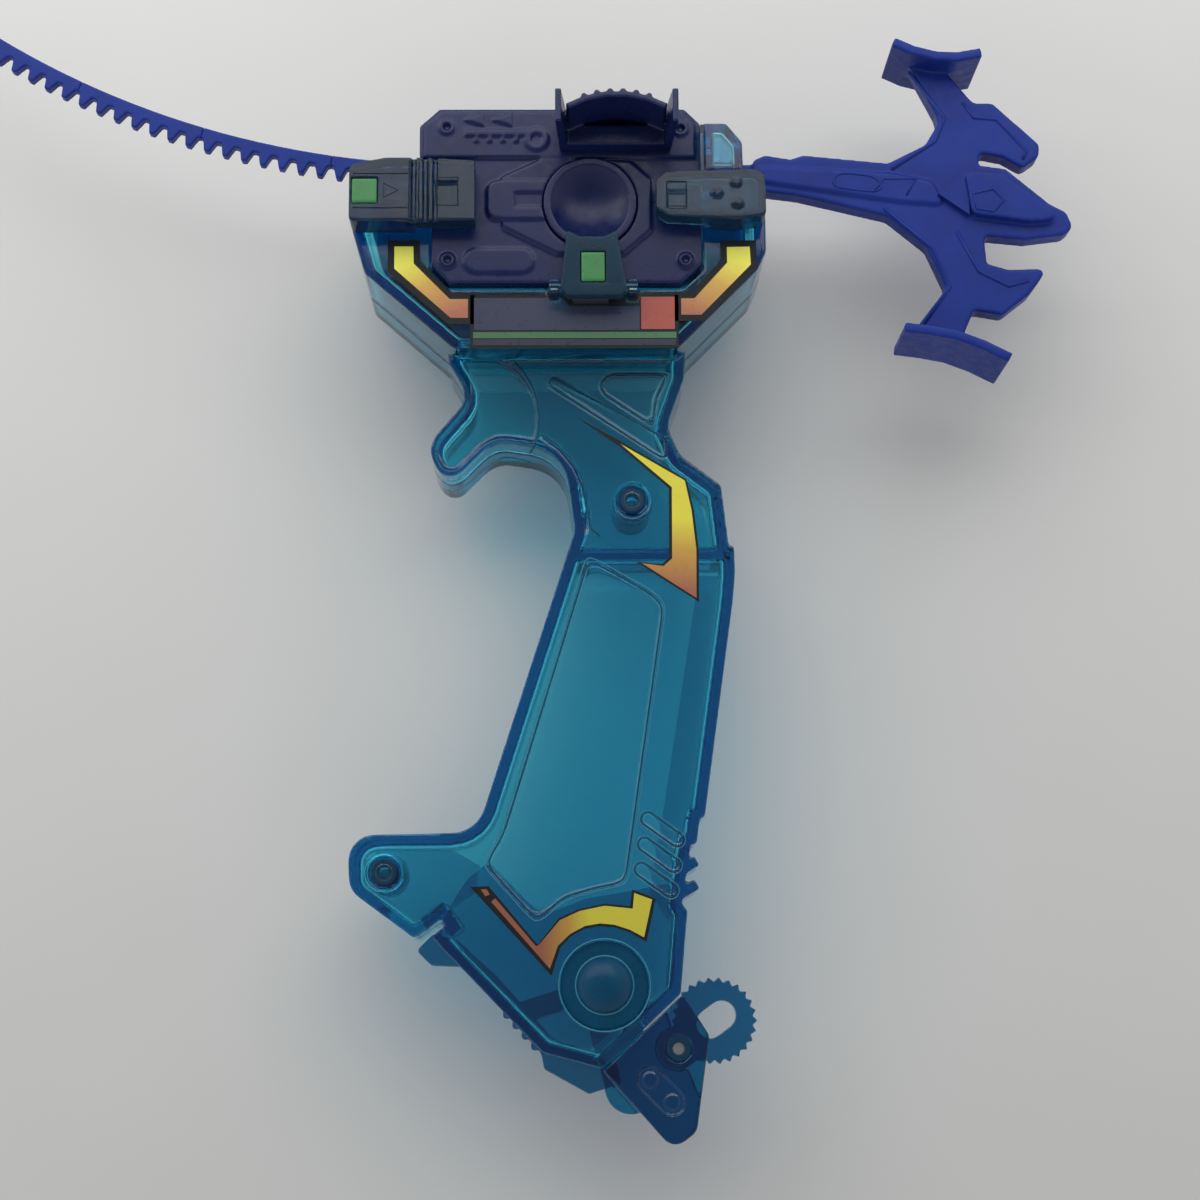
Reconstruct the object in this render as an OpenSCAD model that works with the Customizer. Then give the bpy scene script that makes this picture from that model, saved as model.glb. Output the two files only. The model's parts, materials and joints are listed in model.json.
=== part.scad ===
// Spinning top launcher: a launcher unit with a pull strip, clamped in the cradle of a pistol grip.
// X is the pull direction, Y runs from the handle to the launcher, Z is up and is the spin axis.

/* [Launcher unit] */
// Width of the launcher case along the pull
case_w = 58; // [57:0.5:59]
// Length of the launcher case across the pull
case_l = 38; // [37.5:0.5:39]
// Height of the launcher case
case_h = 29.6; // [29:0.2:31]
// Wall of the launcher case
case_wall = 1.8; // [1.6:0.1:2]
// Corner radius of the launcher case
case_round = 1; // [0.5:0.1:1.5]
// Height of raised details on the case
relief = 0.6; // [0.4:0.1:0.8]
// Radius of the dish ring
dish_r = 9.6; // [9:0.1:9.8]
// Width of the dish ring
dish_ring = 1.4; // [1.2:0.1:1.8]
// Depth of the dish below its ring
dish_depth = 3; // [2.5:0.1:3.2]
// Height of the ribbed guard above the case
guard_h = 15.2; // [14:0.2:20]
// Thickness of the guard wall
guard_t = 1.2; // [1:0.1:1.6]
// Width of the guard
guard_w = 20.6; // [19:0.2:22]

/* [Drive] */
// Teeth on the drive gear
gear_teeth = 16; // [16:1:16]
// Width of the drive gear
gear_w = 5; // [4:0.2:5.6]
// Radius of the drive shaft
shaft_r = 2.5; // [2.2:0.1:2.8]
// Radius of the rotor plate
rotor_r = 13; // [12:0.5:14]
// Thickness of the rotor plate
rotor_t = 2.6; // [2.2:0.1:3]
// Height of the rotor prongs below the grip's rear face
prong_h = 10; // [9:0.5:12]
// Width of a prong across its arm
prong_w = 7; // [6:0.5:8]
// Thickness of a prong
prong_t = 2.4; // [2:0.1:3]

/* [Ripcord] */
// Thickness of the toothed strip
strip_t = 2.4; // [2:0.1:2.8]
// Height of the strip above its teeth
spine_h = 2.4; // [2:0.1:2.8]
// Teeth on each bending length
tail_teeth = 7; // [6:1:8]
// Bend of each length at rest, in degrees
tail_bend = 8.6; // [4:0.1:9]
// Length of the pull handle
pull_l = 68; // [60:0.5:76]
// Span of the pull handle across its wings
pull_w = 70; // [62:0.5:78]
// Thickness of the pull handle
pull_t = 5; // [4:0.2:5.4]
// Height of the upright wing tips
winglet_h = 18; // [14:0.5:20]
// Thickness of the upright wing tips
winglet_t = 2; // [1.6:0.1:2.6]

/* [Cradle] */
// Room beside the case on each side of the cradle
cradle_side = 14; // [13.8:0.1:15]
// Drop from the case's front face to the cradle's front face
case_proud = 2; // [1.6:0.1:2.4]
// Thickness of the clamps above the case
clamp_t = 5.3; // [4.6:0.1:6]
// Thickness of the release latch
latch_t = 3.3; // [3:0.1:3.8]
// Radius of the latch pin
latch_pin_r = 0.9; // [0.8:0.05:1]
// Travel of the lock slider
lock_travel = 9; // [6:0.5:9]

/* [Grip] */
// Width that the grip outline follows
grip_w = 78; // [77:0.5:80]
// Length that the grip outline follows
grip_l = 160; // [156:1:168]
// Thickness of the grip behind its parting plane
grip_rear_t = 13; // [12.6:0.1:13.4]
// Thickness of the grip in front of its parting plane
grip_front_t = 8; // [7.6:0.1:9]
// Wall of the grip and the cradle
wall = 2.2; // [2:0.1:2.4]
// Depth of the recessed panels
recess = 1; // [0.6:0.1:1.2]
// Rounding that the grip's corners follow
grip_round = 5; // [4:0.1:5.4]

/* [Foot] */
// Radius of the hub pin
hub_pin_r = 3; // [2.6:0.1:3.2]
// Radius of the ring around the hub
hub_r = 9; // [8.6:0.1:9.2]
// Radius of the dome on the hub
dome_r = 5.8; // [5:0.1:6.4]
// Radius of the rear foot
foot_r = 8; // [7:0.2:9]
// Thickness of the swing lever
lever_t = 5; // [4.4:0.1:5.2]
// Greatest swing of the lever, in degrees
lever_swing = 40; // [20:1:42]
// Radius of the lanyard ring
ring_r = 8.7; // [8:0.1:8.8]
// Thickness of the lanyard ring
ring_t = 4; // [3.4:0.1:4.2]
// Ridges around the lanyard ring
ring_ridges = 26; // [20:1:32]

/* [Screws] */
// Radius of a screw
screw_r = 1.5; // [1.3:0.1:1.6]
// Radius of a screw head
screw_head_r = 2.6; // [2.4:0.1:2.8]
// Height of a screw head
screw_head_h = 1.6; // [1.4:0.1:2]
// Radius of a screw boss
boss_r = 3.8; // [3.6:0.1:4.2]

/* [Fits] */
// Clearance between pieces that sit together
fit = 0.15; // [0.1:0.01:0.2]
// Radial clearance of a turning fit
running = 0.06; // [0.03:0.01:0.08]
// Clearance between pieces that move past each other
free = 0.4; // [0.3:0.05:0.5]
// Backlash between the gear and the strip
backlash = 0.3; // [0.25:0.01:0.4]

/* [Hidden] */
$fn = 64;
// Overrun of a cut past the face it opens
over = 0.5;
// Points on each rounded corner
arc_steps = 5;
// Points on each round end of a bar
link_steps = 16;

// Width and length that the cradle's outline follows
cradle_w = case_w + 2 * cradle_side;
cradle_l = case_l;

// Heights above the table
rear_z = prong_h;
seam_z = rear_z + grip_rear_t;
grip_z = seam_z + grip_front_t;
case_z = rear_z + wall + fit;
case_top_z = case_z + case_h;
upper_z = case_top_z + relief;
cradle_z = case_top_z - case_proud;
strip_z_share = 0.46;
strip_z = case_z + case_h * strip_z_share;
clamp_z = upper_z + fit;
clamp_top_z = clamp_z + clamp_t;
post_top_z = clamp_top_z - wall;

// Gear and strip
module_share = 0.0342;
tooth_module = case_l * module_share;
pitch = PI * tooth_module;
pitch_r = tooth_module * gear_teeth / 2;
pressure_angle = 20;
addendum_share = 0.85;
dedendum_share = 1.05;
addendum = tooth_module * addendum_share;
dedendum = tooth_module * dedendum_share;
root_y = pitch_r + dedendum;
tip_y = pitch_r - addendum;
spine_y = root_y + spine_h;
straight_teeth = 6;
joint_x = -(straight_teeth + 0.5) * pitch;
tail_l = tail_teeth * pitch;
bend_r = tail_l / (tail_bend * PI / 180);

// Outline of the launcher case, from the bottom left, as shares of its width and length
case_shares = [
    [-0.5, -0.445, 1], [0.322, -0.445, 1], [0.395, -0.34, 1], [0.395, 0.458, 1], [0.338, 0.545, 1],
    [-0.535, 0.545, 1], [-0.607, 0.445, 1], [-0.607, 0.262, 1], [-0.562, 0.248, 1], [-0.562, -0.34, 1]
];
// Outline of the raised upper plate of the case
upper_shares = [
    [0.375, 0.262, 0], [0.375, 0.452, 1], [0.333, 0.525, 1], [-0.53, 0.525, 1], [-0.592, 0.44, 1],
    [-0.592, 0.262, 0]
];
// Outline of the raised field around the dish
field_shares = [
    [-0.12, -0.284, 1], [0.119, -0.284, 1], [0.216, -0.153, 1], [0.216, 0.137, 1], [0.143, 0.24, 1],
    [-0.174, 0.252, 1], [-0.317, 0.147, 1], [-0.31, -0.137, 1]
];
// Outline of the cradle
cradle_shares = [
    [-0.326, -0.795, 1], [0.209, -0.795, 1], [0.401, -0.355, 2], [0.423, -0.25, 2], [0.423, 0.15, 1],
    [0, 0.15, 0], [0, 0.2, 0], [-0.577, 0.2, 1], [-0.577, -0.08, 2], [-0.54, -0.37, 2]
];
// Outline of the guide post on the right of the cradle
post_shares = [
    [0.2725, 0.146, 0], [0.366, 0.146, 0], [0.364, 0.318, 1], [0.326, 0.425, 1], [0.2725, 0.425, 0]
];
// Outline of the fixed clamp
clamp_shares = [
    [0.156, -0.08, 1], [0.184, -0.121, 1], [0.343, -0.137, 1], [0.417, -0.116, 1], [0.416, 0.11, 1],
    [0.392, 0.142, 1], [0.18, 0.129, 1], [0.156, 0.082, 1]
];
// Outline of the lock slider
lock_shares = [
    [-0.572, -0.147, 1], [-0.273, -0.147, 0.5], [-0.273, 0.192, 0.5], [-0.405, 0.208, 0.3],
    [-0.485, 0.208, 0.3], [-0.572, 0.17, 2]
];
// Outline of the release latch
latch_shares = [
    [-0.054, -0.547, 0.5], [0.071, -0.547, 0.5], [0.086, -0.508, 0.5], [0.063, -0.184, 0.3],
    [0.034, -0.216, 2], [-0.027, -0.216, 2], [-0.056, -0.184, 0.3], [-0.072, -0.508, 0.5]
];
// Outline of the grip from the cradle down the finger hook, round the foot and up the back
grip_shares = [
    [-0.379, 0.011, 0], [-0.379, -0.016, 0.3], [-0.323, -0.0625, 1], [-0.438, -0.129, 1.1],
    [-0.382, -0.1825, 0.8], [-0.256, -0.121, 1.2], [-0.072, -0.135, 2.8], [-0.0436, -0.239, 0.3],
    [-0.3, -0.6275, 1.4], [-0.632, -0.63, 1.5], [-0.626, -0.699, 1], [-0.459, -0.759, 0.16],
    [-0.39, -0.735, 0], [-0.378, -0.7425, 0], [-0.415, -0.757, 0.12], [-0.131, -0.9, 0.6],
    [0.0205, -0.92, 0.1], [0.222, -0.829, 0.2], [0.242, -0.727, 0.1], [0.228, -0.7175, 0],
    [0.253, -0.644, 0], [0.268, -0.6425, 0], [0.277, -0.6106, 0], [0.29, -0.609, 0],
    [0.372, -0.331, 0], [0.379, -0.294, 0], [0.377, -0.261, 0], [0.363, -0.2606, 0],
    [0.345, -0.181, 0.3], [0.2385, -0.141, 0.6], [0.2026, -0.103, 1], [0.251, -0.0375, 0.6],
    [0.256, 0.011, 0]
];
// Where the lower edge starts and stops, counted along the grip outline
edge_start = 14;
edge_stop = 16;
// Outline of the recessed handle panel
panel_shares = [
    [-0.006, -0.278, 0.4], [-0.231, -0.631, 0.5], [-0.276, -0.6675, 0.2], [-0.145, -0.7375, 0.6],
    [-0.077, -0.709, 1], [0, -0.698, 1], [0.082, -0.69, 0.6], [0.187, -0.3406, 0.4], [0.16, -0.325, 0.3]
];
// Outline of the three-sided recess on the neck
neck_recess_shares = [
    [0.208, -0.0325, 0.2], [0.053, -0.0325, 0.3], [0.026, -0.0456, 0.3], [0.036, -0.0594, 0.3],
    [0.166, -0.102, 0.3], [0.172, -0.0675, 0.4]
];
// Outline of the slanted groove on the neck
groove_shares = [
    [-0.1, -0.0355, 0.1], [-0.113, -0.0468, 0.1], [0.2, -0.148, 0.1], [0.2, -0.1185, 0.1]
];
// Round groove beside the finger edge, and the wall across the inside of the neck
rim_share = [-0.248, -0.2164];
rim_r_share = 0.2413;
rim_from = -13;
rim_to = 61;
collar_share = -0.2684;
// Outline of the tail bracket
tail_shares = [
    [0.0244, -0.9225, 0.1], [0.1987, -1.0187, 0.9], [0.259, -0.997, 0.6], [0.2936, -0.88, 0.4],
    [0.2276, -0.8297, 0.1]
];
// Places of the neck screw, the ear screw, the hub and the tail screw
neck_screw_share = [0.109, -0.2];
ear_screw_share = [-0.537, -0.677];
hub_share = [0.028, -0.818];
tail_screw_share = [0.215, -0.896];
tail_web_share = [0.095, -0.944];
hook_share = [-0.337, -0.094];
hook_r_share = 0.196;
// Outline of the swing lever about the hub, as shares of its length
lever_l_share = 0.2375;
lever_l = grip_l * lever_l_share;
lever_shares = [
    [-0.92, 0.284, 0], [-1, 0.205, 0.2], [-0.995, 0.184, 0.1], [-0.924, 0.116, 0.1], [-0.75, 0.11, 0.2],
    [-0.337, -0.35, 0.2], [-0.32, -0.434, 0.1], [-0.08, -0.566, 0.1], [0.09, -0.51, 0.1], [0.066, -0.4, 0.2],
    [-0.237, -0.316, 0.4], [-0.58, 0.066, 0.4], [-0.79, 0.25, 0.1]
];
// Outline of the pull handle from the shaft round the lower wing, the nose and the upper wing
pull_shares = [
    [0, -0.004, 0.3], [0.14, -0.022, 0], [0.42, -0.088, 0.4], [0.54, -0.186, 0.4], [0.597, -0.316, 0.3],
    [0.51, -0.425, 0], [0.53, -0.478, 0], [0.63, -0.502, 0], [0.655, -0.44, 0.2], [0.68, -0.385, 0.2],
    [0.77, -0.4, 0.3], [0.855, -0.335, 0.2], [0.915, -0.255, 0.2], [0.79, -0.257, 0.3],
    [0.725, -0.238, 0.2], [0.72, -0.15, 0.2],
    [0.85, -0.163, 0.2], [0.97, -0.148, 0.3], [1, -0.125, 0.4], [0.98, -0.075, 0.4], [0.93, -0.05, 0.3],
    [0.795, 0.063, 0.3], [0.71, 0.075, 0.1], [0.715, 0.115, 0.2], [0.79, 0.1, 0.3], [0.85, 0.065, 0.3],
    [0.9, 0.1, 0.4], [0.905, 0.14, 0.3], [0.76, 0.275, 0.4], [0.7, 0.275, 0.3], [0.645, 0.343, 0.2],
    [0.6, 0.398, 0], [0.5, 0.398, 0], [0.58, 0.24, 0.3], [0.588, 0.21, 0.3], [0.545, 0.14, 0.4],
    [0.425, 0.081, 0.3], [0.16, 0.107, 0.2], [0.12, 0.094, 0], [0.04, 0.107, 0.3], [0, 0.09, 0.3]
];
// Outline of the raised ridge on the nose of the pull handle
canopy_shares = [
    [0.68, -0.09, 0.3], [0.86, -0.115, 0.2], [0.96, -0.105, 0.2], [0.9, -0.06, 0.3], [0.78, 0.035, 0.3],
    [0.66, 0.045, 0.3]
];
// Outline of the raised spine on the shaft of the pull handle
rib_shares = [
    [0.02, 0.02, 0.2], [0.46, -0.045, 0.2], [0.6, -0.055, 0.2], [0.56, 0.02, 0.2], [0.44, 0.045, 0.2],
    [0.02, 0.07, 0.2]
];
// Run of the upper and lower upright wing tips
upper_tip_shares = [[0.44, 0.435], [0.5, 0.408], [0.57, 0.39], [0.64, 0.387], [0.715, 0.4]];
lower_tip_shares = [[0.45, -0.465], [0.53, -0.475], [0.61, -0.49], [0.69, -0.52], [0.77, -0.56]];

// Places that several pieces share
neck_y_share = -0.737;
neck_y = cradle_l * neck_y_share;
function grip_at(share) = [share.x * grip_w, neck_y + share.y * grip_l];
hub = grip_at(hub_share);
neck_screw = grip_at(neck_screw_share);
ear_screw = grip_at(ear_screw_share);
tail_screw = grip_at(tail_screw_share);
tail_web = grip_at(tail_web_share);
hook = grip_at(hook_share);
hook_r = grip_w * hook_r_share;

// Heights of the foot's pieces
lever_z = rear_z + wall + free;
tail_z = lever_z + lever_t + free;
tongue_t_share = 0.3;
tongue_z = tail_z + wall / 2;
tongue_t = (grip_z - tail_z) * tongue_t_share + wall;
ring_z = tail_z + wall + free;
pin_top_z = grip_z - wall - recess;
eye_r = hub_pin_r + wall;

// Places of the pull handle and the latch
pull_x_share = 0.405;
pull_x = cradle_w * pull_x_share;
pull_y = (root_y + tip_y) / 2 - wall;
latch_pin_share = -0.489;
latch_pin_y = cradle_l * latch_pin_share;
latch_z = upper_z + fit;
latch_pin_z = latch_z + latch_t / 2;
lug_w = wall;
latch_left = latch_shares[7][0] * cradle_w;
latch_right = latch_shares[2][0] * cradle_w;
// Wall of the clamps and the guide post
thin_share = 0.7;
thin = wall * thin_share;
// Room left past a swing, in degrees
swing_margin = 4;

// The names of the pieces, in the order of the modules below

// Corners of a share table at a width, a length and a rounding, moved along Y
function corners(shares, w, l, r, y) = [for (p = shares) [p[0] * w, y + p[1] * l, p[2] * r]];
function flat(p) = [p.x, p.y];
function unit(v) = v / norm(v);
function turn(a, b, c) = cross(unit(flat(b - a)), unit(flat(c - b)));

// Corners moved inward by a distance, or outward where it is negative, with parallel rounding
function shrink(pts, d) = [
    for (i = [0 : len(pts) - 1])
        let (n = len(pts), a = flat(pts[(i + n - 1) % n]), b = flat(pts[i]), c = flat(pts[(i + 1) % n]))
        let (u = unit(b - a), v = unit(c - b), nu = [-u.y, u.x], nv = [-v.y, v.x])
        let (p = b + d * (nu + nv) / (1 + nu * nv), side = sign(turn(a, b, c)))
        [p.x, p.y, pts[i].z == 0 ? 0 : max(pts[i].z - side * d, 0)]
];

// Arc that rounds the corner b between a and c and takes less than half of each side
side_share = 0.48;
function at_angle(a) = [cos(a), sin(a)];
function corner_arc(a, b, c) =
    let (u = unit(flat(a - b)), v = unit(flat(c - b)), half = acos(u * v) / 2)
    let (room = side_share * min(norm(flat(a - b)), norm(flat(c - b))))
    let (reach = min(b.z / tan(half), room), r = reach * tan(half))
    let (mid = flat(b) + unit(u + v) * r / sin(half), from = flat(b) + u * reach - mid)
    let (to = flat(b) + v * reach - mid, start = atan2(from.y, from.x))
    let (sweep = (atan2(to.y, to.x) - start + 540) % 360 - 180)
    [for (i = [0 : arc_steps]) mid + r * at_angle(start + sweep * i / arc_steps)];
function rounded(pts) = [
    for (i = [0 : len(pts) - 1])
        let (n = len(pts))
        each (pts[i].z == 0 ? [flat(pts[i])] : corner_arc(pts[(i + n - 1) % n], pts[i], pts[(i + 1) % n]))
];

// Shapes that several pieces use
module slab(pts, z, top) { translate([0, 0, z]) linear_extrude(top - z) polygon(rounded(pts)); }
module block(x, y, z) { translate([x[0], y[0], z[0]]) cube([x[1] - x[0], y[1] - y[0], z[1] - z[0]]); }
module post(p, r, z, top) { translate([p.x, p.y, z]) cylinder(r = r, h = top - z); }
module bar(p, q, r, z, top) {
    translate([p.x, p.y, z]) rotate([0, 0, angle_to(p, q)]) translate([0, -r, 0])
        cube([norm(q - p), 2 * r, top - z]);
}
// Bar with round ends
module link(p, q, r, z, top) {
    turns = [for (i = [0 : link_steps]) angle_to(p, q) - 90 + 180 * i / link_steps];
    ends = concat([for (a = turns) q + r * at_angle(a)], [for (a = turns) p - r * at_angle(a)]);
    translate([0, 0, z]) linear_extrude(top - z) polygon(ends);
}
// Slice of a ring about a point between two angles
module sector(p, r_in, r_out, from, to, z, top) {
    steps = [for (i = [0 : arc_steps]) from + (to - from) * i / arc_steps];
    outer = [for (a = steps) p + r_out * at_angle(a)];
    inner = [for (a = steps) p + r_in * at_angle(a)];
    points = concat(outer, [for (i = [arc_steps : -1 : 0]) inner[i]]);
    translate([0, 0, z]) linear_extrude(top - z) polygon(points);
}
function angle_to(p, q) = atan2(q.y - p.y, q.x - p.x);

// Outlines in millimetres
function case_line() = corners(case_shares, case_w, case_l, case_round, 0);
function cradle_line() = corners(cradle_shares, cradle_w, cradle_l, case_round, 0);
function grip_line() = corners(grip_shares, grip_w, grip_l, grip_round, neck_y);
function in_cradle(shares) = corners(shares, cradle_w, cradle_l, case_round, 0);
function in_grip(shares) = corners(shares, grip_w, grip_l, grip_round, neck_y);
function in_pull(shares) =
    [for (p = corners(shares, pull_l, pull_w, pull_t, pull_y)) [p.x + pull_x, p.y, p.z]];

// Cradle

module launcher_pocket() { slab(shrink(case_line(), -free), rear_z + wall, cradle_z + over); }

module guide_post() {
    line = in_cradle(post_shares);
    difference() {
        slab(line, seam_z, post_top_z);
        slab(shrink(line, thin), seam_z - over, post_top_z - thin);
        block([line[0].x - over, line[1].x + over], [tip_y - free, spine_y + free],
            [seam_z - over, strip_z + strip_t]);
    }
}

module latch_lugs() {
    y = [latch_pin_y - latch_t / 2, latch_pin_y + latch_t / 2 - fit];
    difference() {
        for (x = [latch_left - fit - lug_w, latch_right + fit])
            block([x, x + lug_w], y, [cradle_z - over, latch_pin_z + wall / 2]);
        translate([latch_left - lug_w - over, latch_pin_y, latch_pin_z]) rotate([0, 90, 0])
            cylinder(r = latch_pin_r + fit / 2, h = latch_right - latch_left + 2 * (lug_w + over));
    }
}

// Slot in the cradle's face along which the lock slider's keel runs
keel_share = 1.4;
keel_w = wall * keel_share;
keel_x_share = -0.438;
keel_x = cradle_w * keel_x_share;
keel_y_share = 0.02;
keel_y = cradle_l * keel_y_share;
module keel_slot() {
    half = keel_w / 2 + fit;
    block([keel_x - lock_travel - free, keel_x + keel_w + free], [keel_y - half, keel_y + half],
        [cradle_z - wall - over, cradle_z + over]);
}

// Grip

module screw_ring(p) {
    difference() {
        post(p, boss_r - fit, grip_z - recess, grip_z + over);
        post(p, boss_r / 2, grip_z - recess - over, grip_z + 2 * over);
    }
}
// Two short teeth and three slanted slots on the back of the handle
tooth_shares = [[0.243, -0.671], [0.243, -0.7]];
tooth_slant = 30;
slot_shares = [[0.142, -0.612], [0.133, -0.644], [0.124, -0.675]];
slot_run_share = [0.075, -0.026];
slot_r_share = 0.017;
module back_teeth(z, top) {
    for (share = tooth_shares) {
        p = grip_at(share);
        translate([p.x, p.y, z]) rotate([0, 0, tooth_slant]) translate([-wall, -wall / 2, 0])
            cube([2 * wall, wall, top - z]);
    }
}
module collar(z, top) {
    y = neck_y + collar_share * grip_l;
    intersection() {
        block([-grip_w, grip_w], [y - wall / 2, y + wall / 2], [z, top]);
        slab(shrink(grip_line(), wall / 2), z - over, top + over);
    }
}
module face_details() {
    rim_r = grip_w * rim_r_share;
    slab(in_grip(panel_shares), grip_z - recess, grip_z + over);
    slab(in_grip(neck_recess_shares), grip_z - recess, grip_z + over);
    slab(in_grip(groove_shares), grip_z - recess, grip_z + over);
    sector(grip_at(rim_share), rim_r - recess / 2, rim_r + recess / 2, rim_from, rim_to,
        grip_z - recess / 2, grip_z + over);
    for (share = slot_shares)
        link(grip_at(share), grip_at(share + slot_run_share), grip_w * slot_r_share,
            grip_z - recess, grip_z + over);
    screw_ring(neck_screw);
    screw_ring(ear_screw);
    post(hub, hub_r, grip_z - recess, grip_z + over);
    intersection() {
        post(hook, hook_r, grip_z - recess, grip_z + over);
        slab(shrink(grip_line(), wall / 2), grip_z - recess - over, grip_z + 2 * over);
    }
}

module tongue_window() { link(hub, tail_web, eye_r + free, tongue_z - free, tongue_z + tongue_t + free); }

module front_shell() {
    color("steelblue", 0.7) difference() {
        union() {
            difference() {
                union() {
                    slab(cradle_line(), seam_z, cradle_z);
                    slab(grip_line(), seam_z, grip_z);
                    back_teeth(seam_z, grip_z);
                }
                slab(shrink(cradle_line(), wall), seam_z - over, cradle_z - wall);
                launcher_pocket();
                slab(shrink(grip_line(), wall), seam_z - over, grip_z - wall - recess);
                face_details();
                keel_slot();
            }
            guide_post();
            latch_lugs();
            for (p = [neck_screw, ear_screw]) post(p, boss_r, seam_z, grip_z - wall);
            collar(seam_z, grip_z - wall);
            post(hub, eye_r, tongue_z + tongue_t + free, pin_top_z + over);
        }
        for (p = [neck_screw, ear_screw]) post(p, screw_r, seam_z - over, pin_top_z - wall);
        post(hub, hub_pin_r + fit, seam_z - over, pin_top_z);
        tongue_window();
    }
}

// Reach of the lever's window past the lever
window_share = 1.6;
module rear_shell() {
    line = grip_line();
    start = angle_to(hub, line[edge_start]) - swing_margin;
    stop = angle_to(hub, line[edge_stop]) + 360 + lever_swing + 4 * swing_margin;
    color("steelblue", 0.7) difference() {
        union() {
            difference() {
                union() {
                    slab(cradle_line(), rear_z, seam_z);
                    slab(line, rear_z, seam_z);
                    back_teeth(rear_z, seam_z);
                }
                slab(shrink(cradle_line(), wall), rear_z + wall, seam_z + over);
                launcher_pocket();
                slab(shrink(case_line(), 2 * wall), rear_z - over, seam_z + over);
                slab(shrink(line, wall), rear_z + wall, seam_z + over);
                sector(hub, eye_r + wall, lever_l * window_share, start, stop, rear_z + wall, tail_z);
            }
            for (p = [neck_screw, ear_screw]) post(p, boss_r, rear_z, seam_z);
            collar(rear_z + wall / 2, seam_z);
        }
        for (p = [neck_screw, ear_screw]) {
            post(p, screw_r + fit, rear_z - over, seam_z + over);
            post(p, screw_head_r + fit, rear_z - over, rear_z + screw_head_h + fit);
        }
        post(hub, hub_pin_r + fit / 2, rear_z - over, seam_z + over);
        tongue_window();
    }
}

module grip_screws() {
    color("silver") for (p = [neck_screw, ear_screw]) {
        post(p, screw_head_r, rear_z + fit, rear_z + screw_head_h);
        post(p, screw_r - fit / 5, rear_z + fit, pin_top_z - wall - fit);
    }
}

// Clamps and latch

clamp_peg_shares = [[0.301, 0.01], [0.347, 0.071], [0.35, -0.047]];
clamp_window_share = [0.205, -0.033];
clamp_window_w_share = 0.044;
clamp_foot_share = 0.29;
module fixed_clamp() {
    line = in_cradle(clamp_shares);
    inner = shrink(line, thin);
    window = [clamp_window_share.x * cradle_w, clamp_window_share.y * cradle_l];
    half = cradle_w * clamp_window_w_share / 2;
    color("steelblue", 0.7) union() {
        difference() {
            slab(line, clamp_z, clamp_top_z);
            slab(inner, clamp_z - over, clamp_top_z - thin);
            block([window.x - half, window.x + half], [window.y - half, window.y + half],
                [clamp_top_z - recess / 2, clamp_top_z + over]);
        }
        difference() {
            slab(line, cradle_z, clamp_z + over);
            block([0, clamp_foot_share * cradle_w], [-cradle_l, cradle_l], [cradle_z - over, clamp_top_z]);
        }
        for (share = clamp_peg_shares)
            post([share.x * cradle_w, share.y * cradle_l], recess, clamp_z, clamp_top_z + relief / 2);
    }
}

lock_window_share = [-0.535, 0.02];
lock_window_w_share = 0.06;
lock_pane_share = [-0.339, 0.016];
lock_pane_w_share = 0.05;
lock_groove_shares = [-0.424, -0.397, -0.373];
lock_foot_share = -0.42;
lock_window_at = [lock_window_share.x * cradle_w, lock_window_share.y * cradle_l];
lock_window_half = cradle_w * lock_window_w_share / 2;
module lock_slider() {
    line = in_cradle(lock_shares);
    pane = [lock_pane_share.x * cradle_w, lock_pane_share.y * cradle_l];
    half = cradle_w * lock_pane_w_share / 2;
    color("steelblue", 0.7) union() {
        difference() {
            slab(line, clamp_z, clamp_top_z);
            block([pane.x - half, pane.x + half], [pane.y - half, pane.y + half],
                [clamp_top_z - recess, clamp_top_z + over]);
            block([lock_window_at.x - lock_window_half - fit, lock_window_at.x + lock_window_half + fit],
                [lock_window_at.y - lock_window_half - fit, lock_window_at.y + lock_window_half + fit],
                [clamp_top_z - 2 * recess, clamp_top_z + over]);
            for (share = lock_groove_shares)
                block([share * cradle_w, share * cradle_w + recess], [-cradle_l, cradle_l],
                    [clamp_top_z - recess, clamp_top_z + over]);
        }
        difference() {
            slab(line, cradle_z + fit, clamp_z + over);
            block([lock_foot_share * cradle_w, 0], [-cradle_l, cradle_l], [cradle_z - over, clamp_top_z]);
        }
        block([keel_x, keel_x + keel_w], [keel_y - keel_w / 2, keel_y + keel_w / 2],
            [cradle_z - wall - fit - over, clamp_z + over]);
        block([keel_x, keel_x + keel_w], [keel_y - keel_w, keel_y + keel_w],
            [cradle_z - wall - fit - wall / 2, cradle_z - wall - fit]);
    }
}

module lock_window() {
    color("mediumseagreen")
        block([lock_window_at.x - lock_window_half, lock_window_at.x + lock_window_half],
            [lock_window_at.y - lock_window_half, lock_window_at.y + lock_window_half],
            [clamp_top_z - 2 * recess, clamp_top_z + fit]);
}

latch_window_shares = [[-0.022, -0.471], [0.034, -0.308]];
latch_window_x = [latch_window_shares[0].x * cradle_w, latch_window_shares[1].x * cradle_w];
latch_window_y = [latch_window_shares[0].y * cradle_l, latch_window_shares[1].y * cradle_l];
module latch_bore(r) {
    translate([latch_left - lug_w, latch_pin_y, latch_pin_z]) rotate([0, 90, 0])
        cylinder(r = r, h = latch_right - latch_left + 2 * lug_w);
}
module release_latch() {
    color("steelblue", 0.7) difference() {
        slab(in_cradle(latch_shares), latch_z, latch_z + latch_t);
        block([latch_window_x[0] - fit, latch_window_x[1] + fit],
            [latch_window_y[0] - fit, latch_window_y[1] + fit],
            [latch_z + latch_t - recess, latch_z + latch_t + over]);
        post([0, 0], dish_r + free, latch_z - over, upper_z + relief + fit);
        latch_bore(latch_pin_r + running);
    }
}
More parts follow.
